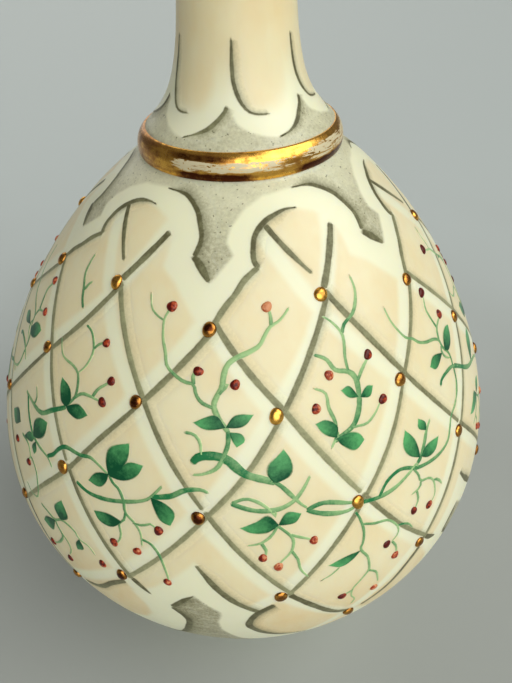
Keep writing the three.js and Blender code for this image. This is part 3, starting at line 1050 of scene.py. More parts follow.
def painted_ground(finish):
    """Opal glass under its peach, stippled grey and gilt. Gives its colour, its bump and the gilt."""
    colours = bpy.context.scene.carafe_colours
    tint, ripple = opal_look(finish)
    edges = finish.painted_parts("grounds")
    strengths = finish.painted_parts("strengths")
    peach, grey = (finish.times(finish.spread(edges[i], 0, 1), strengths[i]) for i in (0, 1))
    gilt = finish.spread(edges[2], 0, 1)
    streaks = finish.noise(0.0035, 3, 0.6, finish.stretched((1, 1, 0.3)))
    clouds = finish.noise(0.014, 3)
    cover = finish.times(peach, finish.uneven(streaks, 0.88, 1.1))
    cover = finish.times(cover, finish.uneven(clouds, 0.75, 1.15), clamp=True)
    tint = finish.mix(cover, tint, colours.peach)
    stipple = finish.noise(0.0006, 3, 0.7)
    brushed = finish.noise(0.0025, 4, 0.7, finish.stretched((0.6, 0.6, 2)))
    cover = finish.times(grey, finish.uneven(stipple, 0.78, 1.2))
    cover = finish.times(cover, finish.uneven(brushed, 0.8, 1.15), clamp=True)
    tint = finish.mix(cover, tint, colours.grey_ground)
    speck = finish.spread(finish.noise(0.0007, 1), 0.69, 0.74, 0, 0.7)
    tint = finish.mix(finish.times(speck, finish.spread(grey, 0.05, 0.4)), tint, colours.grey_speck)
    worn = finish.noise(0.0012, 4, 0.7)
    gilt = finish.spread(finish.less(gilt, finish.spread(worn, 0.55, 0.8, 0, 0.6)), 0.35, 0.55)
    tint = finish.mix(gilt, tint, finish.mix(worn, colours.gold, colours.gold_dark))
    return tint, ripple, gilt


def painted_opal_glass():
    """The carafe's own glass."""
    finish = Finish("painted opal glass")
    tint, ripple, gilt = painted_ground(finish)
    rough = finish.spread(gilt, 0, 1, finish.uneven(finish.noise(0.002), 0.32, 0.44), 0.24)
    finish.set(Base_Color=tint, Normal=ripple, Roughness=rough, Metallic=gilt)
    finish.set(Subsurface_Weight=0.3, Subsurface_Scale=0.004, Subsurface_Radius=(1, 0.75, 0.4))
    return finish.material


def brushed_enamel(name, thin, thick, pooled, fading, roughness):
    """Enamel laid on the ground in strokes: it thins at its soft edges and darkens where it pooled."""
    finish = Finish(name)
    ground, ripple, _ = painted_ground(finish)
    along, across, tone = finish.painted_parts("brush")
    cover, beneath, _ = finish.painted_parts("paint")
    grain = finish.noise(0.0006, 3, 0.7)
    mottle = finish.noise(0.0018, 4, 0.65)
    covered = finish.times(finish.add(cover, finish.uneven(grain, -0.06, 0.06)), 1.12, clamp=True)
    depth = finish.add(
        finish.uneven(mottle, -0.16, 0.16),
        finish.uneven(grain, -0.1, 0.1),
        finish.spread(finish.reckon("ABSOLUTE", across, 0), 0.45, 0.9, 0, pooled),
        finish.spread(across, -1, 1, 0.1, -0.1),
        finish.spread(along, 0, 0.95, fading, -fading),
        finish.times(beneath, pooled),
        tone,
        clamp=True,
    )
    paint = finish.mix(depth, thin, thick)
    rough = finish.spread(covered, 0, 1, 0.38, roughness)
    finish.set(Base_Color=finish.mix(covered, ground, paint), Roughness=rough, Normal=ripple)
    finish.set(Specular_IOR_Level=0.18)
    return finish.material


def berry_enamel():
    """Red enamel drops, nearly black where they are thick and orange where they are thin or speckled, with a
    painted highlight that lightens each towards orange on its right.
    """
    colours = bpy.context.scene.carafe_colours
    finish = Finish("berry enamel")
    right, _, tone = finish.painted_parts("brush")
    speckle = finish.noise(0.0007, 3, 0.7)
    # Painted highlight: each drop is painted lighter on its right, the side towards the lights.
    lit = finish.spread(right, -0.8, 0.9, -0.15, 0.3)
    lit = finish.add(lit, finish.spread(speckle, 0.35, 0.65, -0.35, 0.4))
    thin = finish.less(lit, tone, clamp=True)
    red = finish.mix(finish.spread(thin, 0, 0.5), colours.berry, colours.berry_bright)
    finish.set(Base_Color=finish.mix(finish.spread(thin, 0.5, 1), red, colours.berry_thin_and_lit))
    finish.set(Roughness=0.28, Specular_IOR_Level=0.28)
    return finish.material


def gilding():
    """Burnished gold, browned with age in patches, darkened by painted dark reflections and shade, and rubbed
    down to the pale enamel where it is painted as worn, partly as a painted highlight.
    """
    shared = bpy.data.materials.get("burnished gilding")
    if shared:
        return shared
    colours = bpy.context.scene.carafe_colours
    finish = Finish("burnished gilding")
    worn, browning_and_dark_reflection, _ = finish.painted_parts("wear")
    patina = finish.noise(0.0016, 4, 0.65)
    brushed = finish.noise(0.0012, 4, 0.7, finish.stretched((0.25, 0.25, 2.5)))
    patches = finish.spread(patina, 0.35, 0.7, -0.12, 0.3)
    # The patina patches and brushed streaks are the gold's own. The darkening from the layer is painted dark
    # reflection and shade.
    tarnish_and_dark_reflection = finish.add(browning_and_dark_reflection, patches, finish.spread(brushed, 0.35, 0.65, -0.12, 0.14), clamp=True)
    tint = finish.mix(finish.spread(tarnish_and_dark_reflection, 0, 0.5), colours.gold, colours.gold_dark)
    tint = finish.mix(finish.spread(tarnish_and_dark_reflection, 0.5, 1), tint, colours.gold_black)
    specks = finish.add(finish.spread(brushed, 0.36, 0.64), finish.spread(finish.noise(0.0006, 2), 0.6, 0.7))
    # Rubbed-off gold shows the pale enamel. On the collar's front and right this is also a painted highlight.
    bare = finish.spread(finish.less(worn, specks), -0.04, 0.36)
    tint = finish.mix(bare, tint, colours.rubbed)
    metal = finish.spread(bare, 0, 1, 1, 0.1)
    rough = finish.spread(bare, 0, 1, finish.uneven(patina, 0.2, 0.34), 0.45)
    finish.set(Base_Color=tint, Metallic=metal, Roughness=rough, Normal=finish.bump(patina, 0.00006, 0.4))
    return finish.material


def floor_paint():
    """A pale table with painted shade that makes it a little darker in the foreground."""
    colours = bpy.context.scene.carafe_colours
    finish = Finish("pale table")
    grain = finish.noise(0.004, 4, 0.6)
    _, away, _ = finish.parts(finish.places)
    away = finish.add(away, finish.uneven(finish.noise(0.2, 2), -0.05, 0.05))
    # Painted shade: the table darkens towards the front.
    tint = finish.mix(finish.spread(away, -0.14, 0.28, 1, 0), colours.table, colours.table_shade)
    finish.set(Base_Color=tint, Roughness=0.7, Normal=finish.bump(grain, 0.0003, 0.15))
    return finish.material


def colour_property(name, description, default):
    return bpy.props.FloatVectorProperty(
        name=name, description=description, subtype="COLOR", size=3, min=0, max=1, default=default
    )


def length_property(name, description, default):
    return bpy.props.FloatProperty(
        name=name,
        description=description,
        unit="LENGTH",
        subtype="DISTANCE",
        min=0,
        precision=5,
        default=default,
    )


def strength_property(name, description, default):
    return bpy.props.FloatProperty(name=name, description=description, min=0, default=default)


class CarafeSizes(bpy.types.PropertyGroup):
    """Sizes of the paint and of the raised gilt beads"""

    line_relief: length_property("Line relief", "Thickness of the grey lines", 0.000035)
    vine_relief: length_property("Vine relief", "Thickness of the green strokes", 0.00007)
    leaf_relief: length_property("Leaf relief", "Thickness of the leaves", 0.0001)
    trellis_width: length_property("Trellis width", "Width of the trellis lines", 0.00105)
    shade_width: length_property("Shade width", "Width of the shade beside a trellis line", 0.0018)
    berry_width: length_property("Berry width", "Width of a berry", 0.0021)
    berry_relief: length_property("Berry relief", "Height of a berry", 0.00045)
    bead_width: length_property("Bead width", "Width of a gilt bead", 0.0029)
    bead_rise: length_property("Bead rise", "Height of a gilt bead above the glass", 0.0008)


class CarafeColours(bpy.types.PropertyGroup):
    """Colours of the glass, the enamels and the gilding"""

    opal: colour_property("Opal", "Opal glass", (0.82, 0.825, 0.58))
    opal_thick: colour_property("Thick opal", "Opal glass where it is thicker", (0.80, 0.80, 0.58))
    peach: colour_property("Peach", "Peach ground", (0.765, 0.615, 0.33))
    grey_ground: colour_property("Grey ground", "Ground of the borders", (0.27, 0.255, 0.15))
    grey_speck: colour_property("Grey speck", "Dark specks in the borders", (0.08, 0.075, 0.04))
    line: colour_property("Line", "Thick grey line", (0.10, 0.095, 0.045))
    line_thin: colour_property("Thin line", "Grey line where it is thin", (0.35, 0.36, 0.20))
    leaf_dark: colour_property("Dark leaf", "Leaf green where it pooled", (0.002, 0.075, 0.027))
    leaf: colour_property("Leaf", "Leaf green where it is thin", (0.095, 0.38, 0.13))
    vine_dark: colour_property("Dark vine", "Stem green where it pooled", (0.015, 0.17, 0.055))
    vine: colour_property("Vine", "Stem green where it is thin", (0.34, 0.54, 0.24))
    berry: colour_property("Berry", "Berry red where it is thick", (0.085, 0.005, 0.003))
    berry_bright: colour_property("Bright berry", "Berry red", (0.36, 0.045, 0.014))
    # Thin berry red also paints the highlight on each berry's right.
    berry_thin_and_lit: colour_property("Thin berry", "Berry red where it is thin", (0.62, 0.26, 0.12))
    gold: colour_property("Gold", "Gilding", (0.90, 0.49, 0.09))
    # Dark and darkest gold also paint dark reflections and shade on the collar and beads. The rubbed colour
    # also paints the collar's highlight.
    gold_dark: colour_property("Dark gold", "Browned gilding", (0.45, 0.20, 0.04))
    gold_black: colour_property("Old gold", "Gilding where it is darkest", (0.09, 0.022, 0.008))
    rubbed: colour_property("Rubbed", "What shows where gilding is rubbed off", (0.62, 0.55, 0.35))
    table: colour_property("Table", "Table top", (0.465, 0.515, 0.505))
    # Table shade is the painted shade of the table's foreground.
    table_shade: colour_property("Table shade", "Table top in the foreground", (0.32, 0.34, 0.32))


class CarafeLight(bpy.types.PropertyGroup):
    """Light of the studio"""

    window: strength_property("Window", "Strength of the high light from the right", 1.72)
    front: strength_property("Front", "Strength of the low light from the front", 1.84)
    back: strength_property("Back", "Strength of the light from behind", 0.7)
    sky: strength_property("Sky", "Strength of the light all round", 0.14)


# Columns of the glass's mesh, the arcs between which its rows lie closest because they are painted, the
# steps between the rows below, between and above those arcs, and the length of the lip's round end
GLASS_COLUMNS = 288
PAINTED_ARCS = (-45.0, 134.0)
ROW_STEPS = (1.6, 0.85, 2.4)
LIP_LENGTH = 3.0

# Rows of the lip and of the inner wall, and how far these stay short of the outline's ends
LIP_ROWS = 8
WALL_ROWS = 30
SHORT_OF_END = 0.2

# Arc given to what lies under the foot or inside the glass, where nothing is painted
NO_ARC = -1000.0


def body_outline():
    """Outline of the blown glass and the arc of each point: foot, outside, lip, bore, wall and floor."""
    punt = sweep(*PUNT, 8)
    foot = sweep(*FOOT, 4)[:-1]
    lip_arc = MOUTH_ARC - LIP_LENGTH
    stretches = zip((HEEL_ARC, *PAINTED_ARCS), (*PAINTED_ARCS, lip_arc), ROW_STEPS)
    arcs = [np.arange(start, end, step) for start, end, step in stretches]
    arcs = np.concatenate([*arcs, np.linspace(lip_arc, MOUTH_ARC - SHORT_OF_END, LIP_ROWS)])
    outside = np.column_stack(outline_at(arcs))
    bore_end = PLUG_RADIUS - PLUG_DEPTH * PLUG_TAPER + PLUG_GAP
    bore = np.array(
        [
            (PLUG_RADIUS + PLUG_GAP + MOUTH_CHAMFER, MOUTH_HEIGHT),
            (PLUG_RADIUS + PLUG_GAP, MOUTH_HEIGHT - MOUTH_CHAMFER),
            (bore_end, MOUTH_HEIGHT - PLUG_DEPTH),
        ]
    )
    wall_arcs = np.linspace(arc_at(TUBE_START[1]), HEEL_ARC + SHORT_OF_END, WALL_ROWS)
    steps = (0, SLOPE_STEP, -SLOPE_STEP)
    wall, above, below = (np.column_stack(outline_at(wall_arcs + step)) for step in steps)
    ahead = above - below
    ahead /= np.linalg.norm(ahead, axis=1)[:, None]
    wall += WALL * np.column_stack([-ahead[:, 1], ahead[:, 0]])
    floor = sweep(wall[-1], (0, PUNT_RISE + FLOOR), *FLOOR_HANDLES, 10)[1:]
    outline = np.concatenate([punt, foot, outside, bore, wall, floor])
    row_arcs = np.full(len(outline), NO_ARC)
    row_arcs[len(punt) + len(foot) :][: len(arcs)] = arcs
    return outline, row_arcs


class CARAFE_OT_glass(bpy.types.Operator):
    """Blow the body and paint its grounds"""

    bl_idname = "carafe.glass"
    bl_label = "Painted glass"

    def execute(self, context):
        outline, arcs = body_outline()
        mesh, radius, height, azimuth, rows = turned(outline, GLASS_COLUMNS)
        settle(mesh, leaned(radius, height, azimuth))
        for name in ("grounds", "strengths"):
            mesh.verts.layers.float_vector.new(name)
        paint_grounds(mesh.verts, mesh.verts.layers, azimuth, arcs[rows])
        glass = painted_opal_glass()
        finished("painted_vessel", closed(mesh), glass, replaced=["vessel"])
        return {"FINISHED"}


# How far the lines of the trellis run on past their crossings, as a share of their length
LINE_OVERRUN = 0.045

# How far the points of the lines wander, in degrees and millimetres, and for the trellis the ranges of a
# line's width, as a share of the given one, of the strength of its shade and of the depth of its colour
TRELLIS_WANDER = 0.2
BORDER_WANDER = 0.12
LINE_WIDTHS = (0.88, 1.12)
SHADE_STRENGTHS = (0.3, 0.58)
LINE_TONES = (0.05, 0.5)


def trellis_strokes():
    """Lines of the trellis between the beads, drawn downwards: (points, shares of the width at both ends)."""
    right, up = CROSSING_SHIFT
    half = COLUMN_STEP / 2
    upper, middle, lower = UPPER_ROW + up, MIDDLE_ROW + up, LOWER_ROW + up
    strokes = []
    for column in range(COLUMNS):
        azimuth = PENDANT_AZIMUTH + right + column * COLUMN_STEP
        top = TOP_ROW + up + (ARCH_CROSSING_RISE if column % 2 else 0)
        above_bead = (azimuth - BEAD_SIDESTEP, middle + BEAD_GAP)
        below_bead = (azimuth + half - BEAD_SIDESTEP, upper - BEAD_GAP)
        strokes += [
            ([(azimuth, top), (azimuth + half, upper)], (1, 1)),
            ([(azimuth, top), (azimuth - half, upper)], (1, 1)),
            ([(azimuth - half, upper), above_bead], (1, 0.8)),
            ([below_bead, (azimuth, middle)], (0.8, 1)),
            ([(azimuth, middle), (azimuth + half, lower)], (1, 1)),
            ([(azimuth, middle), (azimuth - half, lower)], (1, 1)),
        ]
    return strokes


class CARAFE_OT_trellis(bpy.types.Operator):
    """Paint the shaded grey lines of the trellis and the borders"""

    bl_idname = "carafe.trellis"
    bl_label = "Trellis"

    def execute(self, context):
        sizes = context.scene.carafe_sizes
        colours = context.scene.carafe_colours
        brush = Brush(4, sizes.line_relief / MM)
        width = sizes.trellis_width / MM
        shade = sizes.shade_width / MM
        for points, ends in trellis_strokes():
            start, end = np.array(points)
            middle = (start + end) / 2 + brush.random.normal(0, TRELLIS_WANDER, 2)
            overrun = (end - start) * LINE_OVERRUN
            thick = width * brush.random.uniform(*LINE_WIDTHS)
            strength = brush.random.uniform(*SHADE_STRENGTHS)
            tone = brush.random.uniform(*LINE_TONES)
            brush.stroke([start - overrun, middle, end + overrun], thick, ends, shade, strength, tone)
        for turn in np.arange(0, 360, PERIOD):
            for thick, shade, strength, tone, ends, points in BORDER_LINES:
                wander = brush.random.normal(0, BORDER_WANDER, (len(points), 2))
                brush.stroke(np.add(points, wander) + (turn, 0), thick, ends, shade, strength, tone)
        enamel = brushed_enamel(
            "grey enamel", colours.line_thin, colours.line, pooled=0.15, fading=0.07, roughness=0.42
        )
        brush.piece("trellis_lines", enamel, "trellis_enamel")
        return {"FINISHED"}


# Each kind of stem: width in mm, shares of the width at both ends, depth of the colour
STEMS = {
    "heavy": (1.8, (0.8, 0.7), 0.7),
    "vines": (1.1, (0.9, 0.55), 0.5),
    "twigs": (0.66, (1, 0.55), 0.22),
    "tendrils": (0.38, (1, 0.35), 0.1),
    "washes": (1.0, (1, 0.4), 0.0),
}
LEAF_TONE = 0.52

# Width in mm and strength of the shade beside a stem, the range of a stem's width, and how much of its
# sprig's own depth, its painted shade, it takes
STEM_SHADE = (0.2, 0.3)
STEM_WIDTHS = (0.85, 1.15)
STEM_DEPTH = 0.7

# Depth of the colour of each kind of berry, and the range of a berry's width
BERRY_TONES = {"berries": 0, "pale_berries": -0.68}
BERRY_WIDTHS = (0.92, 1.05)

# Ends of stems and leaves this close to another stem are drawn out to it, and stems this far over it, in
# millimetres. An end that nearly touches already goes on the way it runs.
JOIN_REACH = 1.7
JOIN_OVERLAP = 0.3
NEARLY_TOUCHING = 0.3


def nearest_place(place, others):
    """The nearest of the other places on the glass, and how many millimetres away it is."""
    away = np.hypot(*(np.subtract(others, place) * (per_degree_at(place[1]), 1)).T)
    return tuple(others[away.argmin()]), away.min()


def stem_places(sprig):
    """Close-set places along each stem of a sprig."""
    return [catmull_rom(points, 60) for kind in STEMS for points in sprig.get(kind, [])]


def joined_stems(sprig):
    """The stems of a sprig by kind, with their ends drawn out to the berry or the other stem close by."""
    lines = stem_places(sprig)
    berries = np.reshape([place for kind in BERRY_TONES for place in sprig.get(kind, [])], (-1, 2))
    stems = [(kind, list(points)) for kind in STEMS for points in sprig.get(kind, [])]
    for number, (_, points) in enumerate(stems):
        others = np.concatenate(lines[:number] + lines[number + 1 :] + [berries])
        for end, inner, place in ((points[0], points[1], 0), (points[-1], points[-2], len(points) + 1)):
            nearest, away = nearest_place(end, others)
            if away < JOIN_REACH:
                aim = np.subtract(nearest, end) if away > NEARLY_TOUCHING else np.subtract(end, inner)
                points.insert(place, np.add(nearest, aim * JOIN_OVERLAP / (np.hypot(*aim) + 0.01)))
    return stems


class CARAFE_OT_vines(bpy.types.Operator):
    """Paint the stems of the sprigs"""

    bl_idname = "carafe.vines"
    bl_label = "Vines"

    def execute(self, context):
        colours = context.scene.carafe_colours
        brush = Brush(5, context.scene.carafe_sizes.vine_relief / MM)
        for sprig in SPRIGS:
            stems = joined_stems(sprig)
            for turn in sprig["turns"]:
                for kind, points in stems:
                    width, ends, tone = STEMS[kind]
                    thick = width * brush.random.uniform(*STEM_WIDTHS)
                    depth = tone + STEM_DEPTH * sprig.get("depth", 0)
                    brush.stroke(np.add(points, (turn, 0)), thick, ends, *STEM_SHADE, depth)
        enamel = brushed_enamel(
            "vine green", colours.vine, colours.vine_dark, pooled=0.4, fading=0.32, roughness=0.34
        )
        brush.piece("vine_stems", enamel, "leaf_enamel")
        return {"FINISHED"}


class CARAFE_OT_leaves(bpy.types.Operator):
    """Paint the leaves of the sprigs"""

    bl_idname = "carafe.leaves"
    bl_label = "Leaves"

    def execute(self, context):
        colours = context.scene.carafe_colours
        brush = Brush(6, context.scene.carafe_sizes.leaf_relief / MM)
        for sprig in SPRIGS:
            stems = np.concatenate(stem_places(sprig))
            for turn in sprig["turns"]:
                for base, one_side, tip, other_side in sprig.get("leaves", []):
                    nearest, away = nearest_place(base, stems)
                    base = nearest if away < JOIN_REACH else base
                    base, *one_side = np.add([base, *one_side], (turn, 0))
                    tip, *other_side = np.add([tip, *other_side], (turn, 0))
                    # A sprig's depth darkens its leaves too, as painted shade.
                    brush.leaf(base, one_side, tip, other_side, LEAF_TONE + sprig.get("depth", 0))
        enamel = brushed_enamel(
            "leaf green", colours.leaf, colours.leaf_dark, pooled=0.18, fading=0.46, roughness=0.3
        )
        brush.piece("leaves", enamel, "leaf_enamel")
        return {"FINISHED"}


class CARAFE_OT_berries(bpy.types.Operator):
    """Set the raised red berries"""

    bl_idname = "carafe.berries"
    bl_label = "Berries"

    def execute(self, context):
        sizes = context.scene.carafe_sizes
        brush = Brush(7, 1)
        for sprig in SPRIGS:
            for turn in sprig["turns"]:
                for kind, tone in BERRY_TONES.items():
                    for azimuth, arc in sprig.get(kind, []):
                        width = sizes.berry_width / MM * brush.random.uniform(*BERRY_WIDTHS)
                        brush.drop(azimuth + turn, arc, width, sizes.berry_relief / MM, tone)
        brush.piece("berries", berry_enamel(), "berry_enamel", thick=False)
        return {"FINISHED"}


def between(value, coming, going):
    """1 between two soft ends, each given as the range over which it comes or goes."""
    return smooth_share(value, *coming) * (1 - smooth_share(value, *going))


def collar_wear_and_reflection(azimuth, share):
    """How far the collar's gilding is rubbed off, partly as a painted highlight, and its painted dark
    reflections and shade.
    """
    # From about 10 to 40 degrees, over the front and right, the rubbed streak is a painted highlight as well
    # as wear.
    right = smooth_share(azimuth, 26, 44)
    front = between(azimuth, (-40, -30), (10, 40))
    back = smooth_share(-azimuth, 105, 125)
    bare = np.maximum(np.maximum(front, 0.8 * right), back)
    streak = between(share, (0.26, 0.36), (0.58 + 0.14 * right, 0.7 + 0.14 * right))
    worn = streak * (0.3 * smooth_share(azimuth, -45, -30) + 0.8 * bare)
    # Painted dark reflections: brown bands low on the collar's front and right, and high across its front.
    below = 1 - smooth_share(share, 0.2, 0.32)
    below = below * np.maximum(between(azimuth, (-38, -30), (0, 12)), between(azimuth, (26, 38), (70, 85)))
    above = between(share, (0.62, 0.7), (0.8, 0.9)) * between(azimuth, (-42, -34), (-12, 2))
    # Painted shade: the collar's left side, away from the lights, is painted darker.
    left = 1 - smooth_share(azimuth, -60, -35)
    return worn, np.clip(below + 0.7 * above + 0.4 * left, 0, 1)


# Columns of the collar's mesh, rows on its outside, how many millimetres it swells less than the packed
# part's, how far it stands off the glass beside its edges and how deep these lie in the glass
COLLAR_COLUMNS = 220
COLLAR_ROWS = 32
COLLAR_FLATTER = 0.85
COLLAR_STAND_OFF = 0.1
COLLAR_SUNK = 0.4

# Waves that the wound thread keeps: millimetres in or out, number round the neck and phase in degrees
COLLAR_WAVES = ((0.06, 3, 40), (0.035, 7, 0))


class CARAFE_OT_collar(bpy.types.Operator):
    """Wind the gilded thread round the foot of the neck"""

    bl_idname = "carafe.collar"
    bl_label = "Neck collar"

    def execute(self, context):
        foot = np.array(NECK_ROOT)
        top = np.array(NECK_START)
        up = (top - foot) / np.linalg.norm(top - foot)
        out = np.array([up[1], -up[0]])
        shares = np.linspace(0, 1, COLLAR_ROWS + 1)
        swell = COLLAR_STAND_OFF + (COLLAR_BULGE - COLLAR_FLATTER) * np.sin(math.pi * shares) ** 0.7
        swell[[0, -1]] = -COLLAR_SUNK
        ring = foot + np.outer(shares, top - foot) + np.outer(swell, out)
        mesh, radius, height, azimuth, rows = turned(np.concatenate([ring, ring[:1]]), COLLAR_COLUMNS)
        wave = sum(size * np.sin(np.radians(azimuth * count + phase)) for size, count, phase in COLLAR_WAVES)
        settle(mesh, leaned(radius + np.where(rows % COLLAR_ROWS > 0, wave, 0), height, azimuth))
        # Rubbed wear with its painted highlight, then painted dark reflections and shade, kept on the
        # collar's vertices.
        worn, browning_and_dark_reflection = collar_wear_and_reflection(azimuth, rows / COLLAR_ROWS)
        paint_layer(mesh.verts, mesh.verts.layers.float_vector.new("wear"), worn, browning_and_dark_reflection)
        finished("gilt_collar", closed(mesh), gilding(), replaced=["neck_collar"])
        return {"FINISHED"}


# How dark the beads of a row are painted, partly tarnish and partly painted dark reflection, from the
# pendant's column round to the right and over again
BEAD_TARNISH_AND_REFLECTION = {
    "top": (0.85, 0.05, 0.6, 0.3),
    "upper": (0.1, 0.45, 0.55, 0.9),
    "middle": (1.0, 0.2, 0.55, 0.45),
    "lower": (0.75, 0.6, 0.6, 1.0),
    "bottom": (0.7, 0.6),
}


def bead_places():
    """Row, column, azimuth and arc of each bead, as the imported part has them."""
    for column in range(COLUMNS):
        azimuth = PENDANT_AZIMUTH + column * COLUMN_STEP
        yield "top", column, azimuth, TOP_ROW + (ARCH_RISE if column % 2 else 0)
        yield "upper", column, azimuth + COLUMN_STEP / 2, UPPER_ROW
        yield "middle", column, azimuth, MIDDLE_ROW
        yield "lower", column, azimuth + COLUMN_STEP / 2, LOWER_ROW
    for arch in range(COLUMNS // 2):
        yield "bottom", arch, ARCH_AZIMUTH + arch * PERIOD, BOTTOM_ROW


# How far down a bead's ball is kept, as a share of its radius, how much taller than wide the bead is, how far
# it is out of round, and the range of its size
BEAD_CUT = -0.2
BEAD_TALLER = 1.12
BEAD_UNEVENNESS = (0.05, 0.03)
BEAD_SIZES = (0.93, 1.06)


def bead_mesh(place, width, rise, tarnish_and_reflection, random):
    """A flattened drop, a little out of round, cut off inside the glass. Its darkening lies mostly on its top
    as a painted dark reflection, and painted shade darkens its rim.
    """
    mesh = bmesh.new()
    bmesh.ops.create_icosphere(mesh, subdivisions=3, radius=1)
    cut = bmesh.ops.bisect_plane(
        mesh,
        geom=mesh.verts[:] + mesh.edges[:] + mesh.faces[:],
        plane_co=(0, 0, BEAD_CUT),
        plane_no=(0, 0, -1),
        clear_outer=True,
    )
    rim = [part for part in cut["geom_cut"] if isinstance(part, bmesh.types.BMEdge)]
    bmesh.ops.holes_fill(mesh, edges=rim, sides=0)
    points = np.array([vert.co for vert in mesh.verts])
    off_centre = np.hypot(points[:, 0], points[:, 1])
    # Painted dark reflection on the bead's top, fading towards its edge, then painted shade round its rim.
    pooled = tarnish_and_reflection * (1 - 0.6 * smooth_share(off_centre, 0.5, 0.85))
    pooled = pooled + 0.4 * smooth_share(off_centre, 0.88, 1)
    paint_layer(mesh.verts, mesh.verts.layers.float_vector.new("wear"), 0 * pooled, pooled)
    uneven = out_of_round(points, random, *BEAD_UNEVENNESS)
    flat = points[:, :2] * uneven[:, None] * (width / 2, BEAD_TALLER * width / 2)
    settle(mesh, np.column_stack([flat, points[:, 2] * rise]))
    mesh.transform(place)
    return mesh


class CARAFE_OT_beads(bpy.types.Operator):
    """Set a gilt bead wherever the trellis crosses"""

    bl_idname = "carafe.beads"
    bl_label = "Gilt beads"

    def execute(self, context):
        sizes = context.scene.carafe_sizes
        random = np.random.default_rng(8)
        gold = gilding()
        for row, column, azimuth, arc in bead_places():
            size = random.uniform(*BEAD_SIZES)
            tarnish_and_reflection = BEAD_TARNISH_AND_REFLECTION[row][column % len(BEAD_TARNISH_AND_REFLECTION[row])]
            place = place_on_glass(azimuth, arc)
            mesh = bead_mesh(place, sizes.bead_width * size, sizes.bead_rise * size, tarnish_and_reflection, random)
            name = f"bead_{row}_{column + 1:02d}"
            finished(f"gilt_{name}", mesh, gold, replaced=[name])
        return {"FINISHED"}


# Outline of the stopper above its seat on the mouth, and the chamfer of its plug's end, in millimetres
SEAT_GAP = 0.3
FLANGE_RADIUS = 12.2
FLANGE_THICKNESS = 3.0
WAIST = (6.2, 7.5)
HEAD_WIDEST = (17.5, 23.0)
HEAD_TOP = 46.0
PLUG_CHAMFER = 0.6

# Handles of the stopper's curves and the steps along each, and the columns of its mesh
THROAT = ((0.7, 0), (1, 0.4), 14)
BULB = ((0, 0.3), (1, 0.4), 26)
CROWN = ((0, 0.55), (0.82, 0.75), 40)
STOPPER_COLUMNS = 144


class CARAFE_OT_stopper(bpy.types.Operator):
    """Turn the stopper"""

    bl_idname = "carafe.stopper"
    bl_label = "Stopper"

    def execute(self, context):
        centre = (FLANGE_RADIUS - FLANGE_THICKNESS / 2, SEAT_GAP + FLANGE_THICKNESS / 2)
        flange = round_stretch(centre, FLANGE_THICKNESS / 2, -90, 90, 14)
        throat = sweep(flange[-1], WAIST, *THROAT)[1:]
        bulb = sweep(WAIST, HEAD_WIDEST, *BULB)[1:]
        crown = sweep(HEAD_WIDEST, (0, HEAD_TOP), *CROWN)[1:]
        plug_end = PLUG_RADIUS - PLUG_DEPTH * PLUG_TAPER
        plug = np.array(
            [
                (0, -PLUG_DEPTH),
                (plug_end - PLUG_CHAMFER, -PLUG_DEPTH),
                (plug_end, PLUG_CHAMFER - PLUG_DEPTH),
                (PLUG_RADIUS, SEAT_GAP),
            ]
        )
        outline = np.concatenate([plug, flange, throat, bulb, crown])
        mesh, radius, height, azimuth, _ = turned(outline, STOPPER_COLUMNS)
        turn = np.radians(azimuth)
        settle(mesh, np.column_stack([radius * np.sin(turn), -radius * np.cos(turn), height]))
        across, up = section_centre(MOUTH_HEIGHT)
        seat = Matrix.Translation((across * MM, 0, up * MM))
        seat = seat @ Matrix.Rotation(-section_tilt(MOUTH_HEIGHT), 4, "Y") @ Matrix.Scale(MM, 4)
        mesh.transform(seat)
        glass = opal_glass()
        finished("opal_stopper", closed(mesh), glass, body="stopper", replaced=["stopper"])
        return {"FINISHED"}


# Camera and image of the photograph. The picture is 512 by 683 pixels.
IMAGE_HEIGHT = 683
FOCAL_PIXELS = 576.6
AXIS_OFF_CENTRE_PIXELS = 12.8
CAMERA_PLACE = (0.0, -0.1327, 0.1858)
CAMERA_PITCH = math.radians(90 - 38.83)
SENSOR_WIDTH = 36
NEAREST_SEEN = 0.005


def set_camera():
    data = bpy.data.cameras.new("camera")
    data.sensor_width = SENSOR_WIDTH
    data.lens = FOCAL_PIXELS * SENSOR_WIDTH / IMAGE_HEIGHT
    data.shift_x = AXIS_OFF_CENTRE_PIXELS / IMAGE_HEIGHT
    data.clip_start = NEAREST_SEEN
    data.dof.use_dof = False
    camera = placed("camera", data)
    camera.location = CAMERA_PLACE
    camera.rotation_euler = (CAMERA_PITCH, 0, 0)
    bpy.context.scene.camera = camera


# Lights by the name of their strength: azimuth from the front to the right, elevation and width, in degrees
LIGHTS = {"window": (72, 48, 50), "front": (12, 27, 60), "back": (195, 25, 60)}
LIGHT_COLOUR = (1.0, 0.99, 0.96)
SKY_COLOUR = (1.0, 0.97, 0.9, 1)
TABLE_RADIUS = 4


def add_light(name, azimuth, elevation, strength, spread):
    """A wide, soft light."""
    data = bpy.data.lights.new(name, "SUN")
    data.energy = strength
    data.color = LIGHT_COLOUR
    data.angle = math.radians(spread)
    light = placed(name, data)
    turn, rise = math.radians(azimuth), math.radians(elevation)
    toward = Vector((math.cos(rise) * math.sin(turn), -math.cos(rise) * math.cos(turn), math.sin(rise)))
    light.location = toward
    light.rotation_euler = toward.to_track_quat("Z", "Y").to_euler()


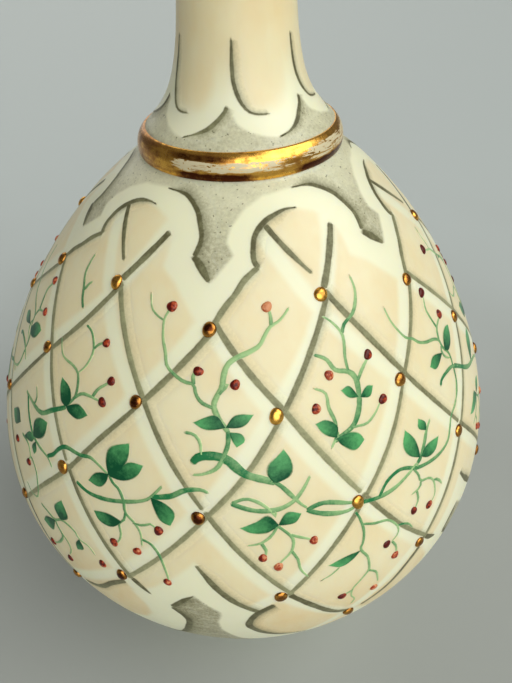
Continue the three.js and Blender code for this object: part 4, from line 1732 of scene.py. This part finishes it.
class CARAFE_OT_stage(bpy.types.Operator):
    """Lay the table and set the camera and lights"""

    bl_idname = "carafe.stage"
    bl_label = "Stage"

    def execute(self, context):
        light = context.scene.carafe_light
        mesh = bmesh.new()
        bmesh.ops.create_circle(mesh, cap_ends=True, segments=96, radius=TABLE_RADIUS)
        placed_mesh("table", mesh, floor_paint())
        set_camera()
        for name, (azimuth, elevation, spread) in LIGHTS.items():
            add_light(name, azimuth, elevation, getattr(light, name), spread)
        world = bpy.data.worlds.new("studio")
        world.use_nodes = True
        background = world.node_tree.nodes["Background"]
        background.inputs["Color"].default_value = SKY_COLOUR
        background.inputs["Strength"].default_value = light.sky
        context.scene.world = world
        context.scene.view_settings.view_transform = "Standard"
        return {"FINISHED"}


OPERATORS = (
    CARAFE_OT_stage,
    CARAFE_OT_glass,
    CARAFE_OT_trellis,
    CARAFE_OT_vines,
    CARAFE_OT_leaves,
    CARAFE_OT_berries,
    CARAFE_OT_collar,
    CARAFE_OT_beads,
    CARAFE_OT_stopper,
)


class CARAFE_PT_panel(bpy.types.Panel):
    """The carafe's pieces"""

    bl_label = "Carafe"
    bl_space_type = "VIEW_3D"
    bl_region_type = "UI"
    bl_category = "Carafe"

    def draw(self, context):
        for name, settings in SETTINGS.items():
            box = self.layout.box()
            for setting in settings.__annotations__:
                box.prop(getattr(context.scene, name), setting)
        for operator in OPERATORS:
            self.layout.operator(operator.bl_idname)


SETTINGS = {"carafe_sizes": CarafeSizes, "carafe_colours": CarafeColours, "carafe_light": CarafeLight}
CLASSES = (*SETTINGS.values(), *OPERATORS, CARAFE_PT_panel)


def register():
    for item in CLASSES:
        bpy.utils.register_class(item)
    for name, settings in SETTINGS.items():
        setattr(bpy.types.Scene, name, bpy.props.PointerProperty(type=settings))


def unregister():
    for name in SETTINGS:
        delattr(bpy.types.Scene, name)
    for item in reversed(CLASSES):
        bpy.utils.unregister_class(item)


def main():
    register()
    bpy.ops.carafe.stage()
    bpy.ops.carafe.glass()
    bpy.ops.carafe.trellis()
    bpy.ops.carafe.vines()
    bpy.ops.carafe.leaves()
    bpy.ops.carafe.berries()
    bpy.ops.carafe.collar()
    bpy.ops.carafe.beads()
    bpy.ops.carafe.stopper()


if __name__ == "__main__":
    main()
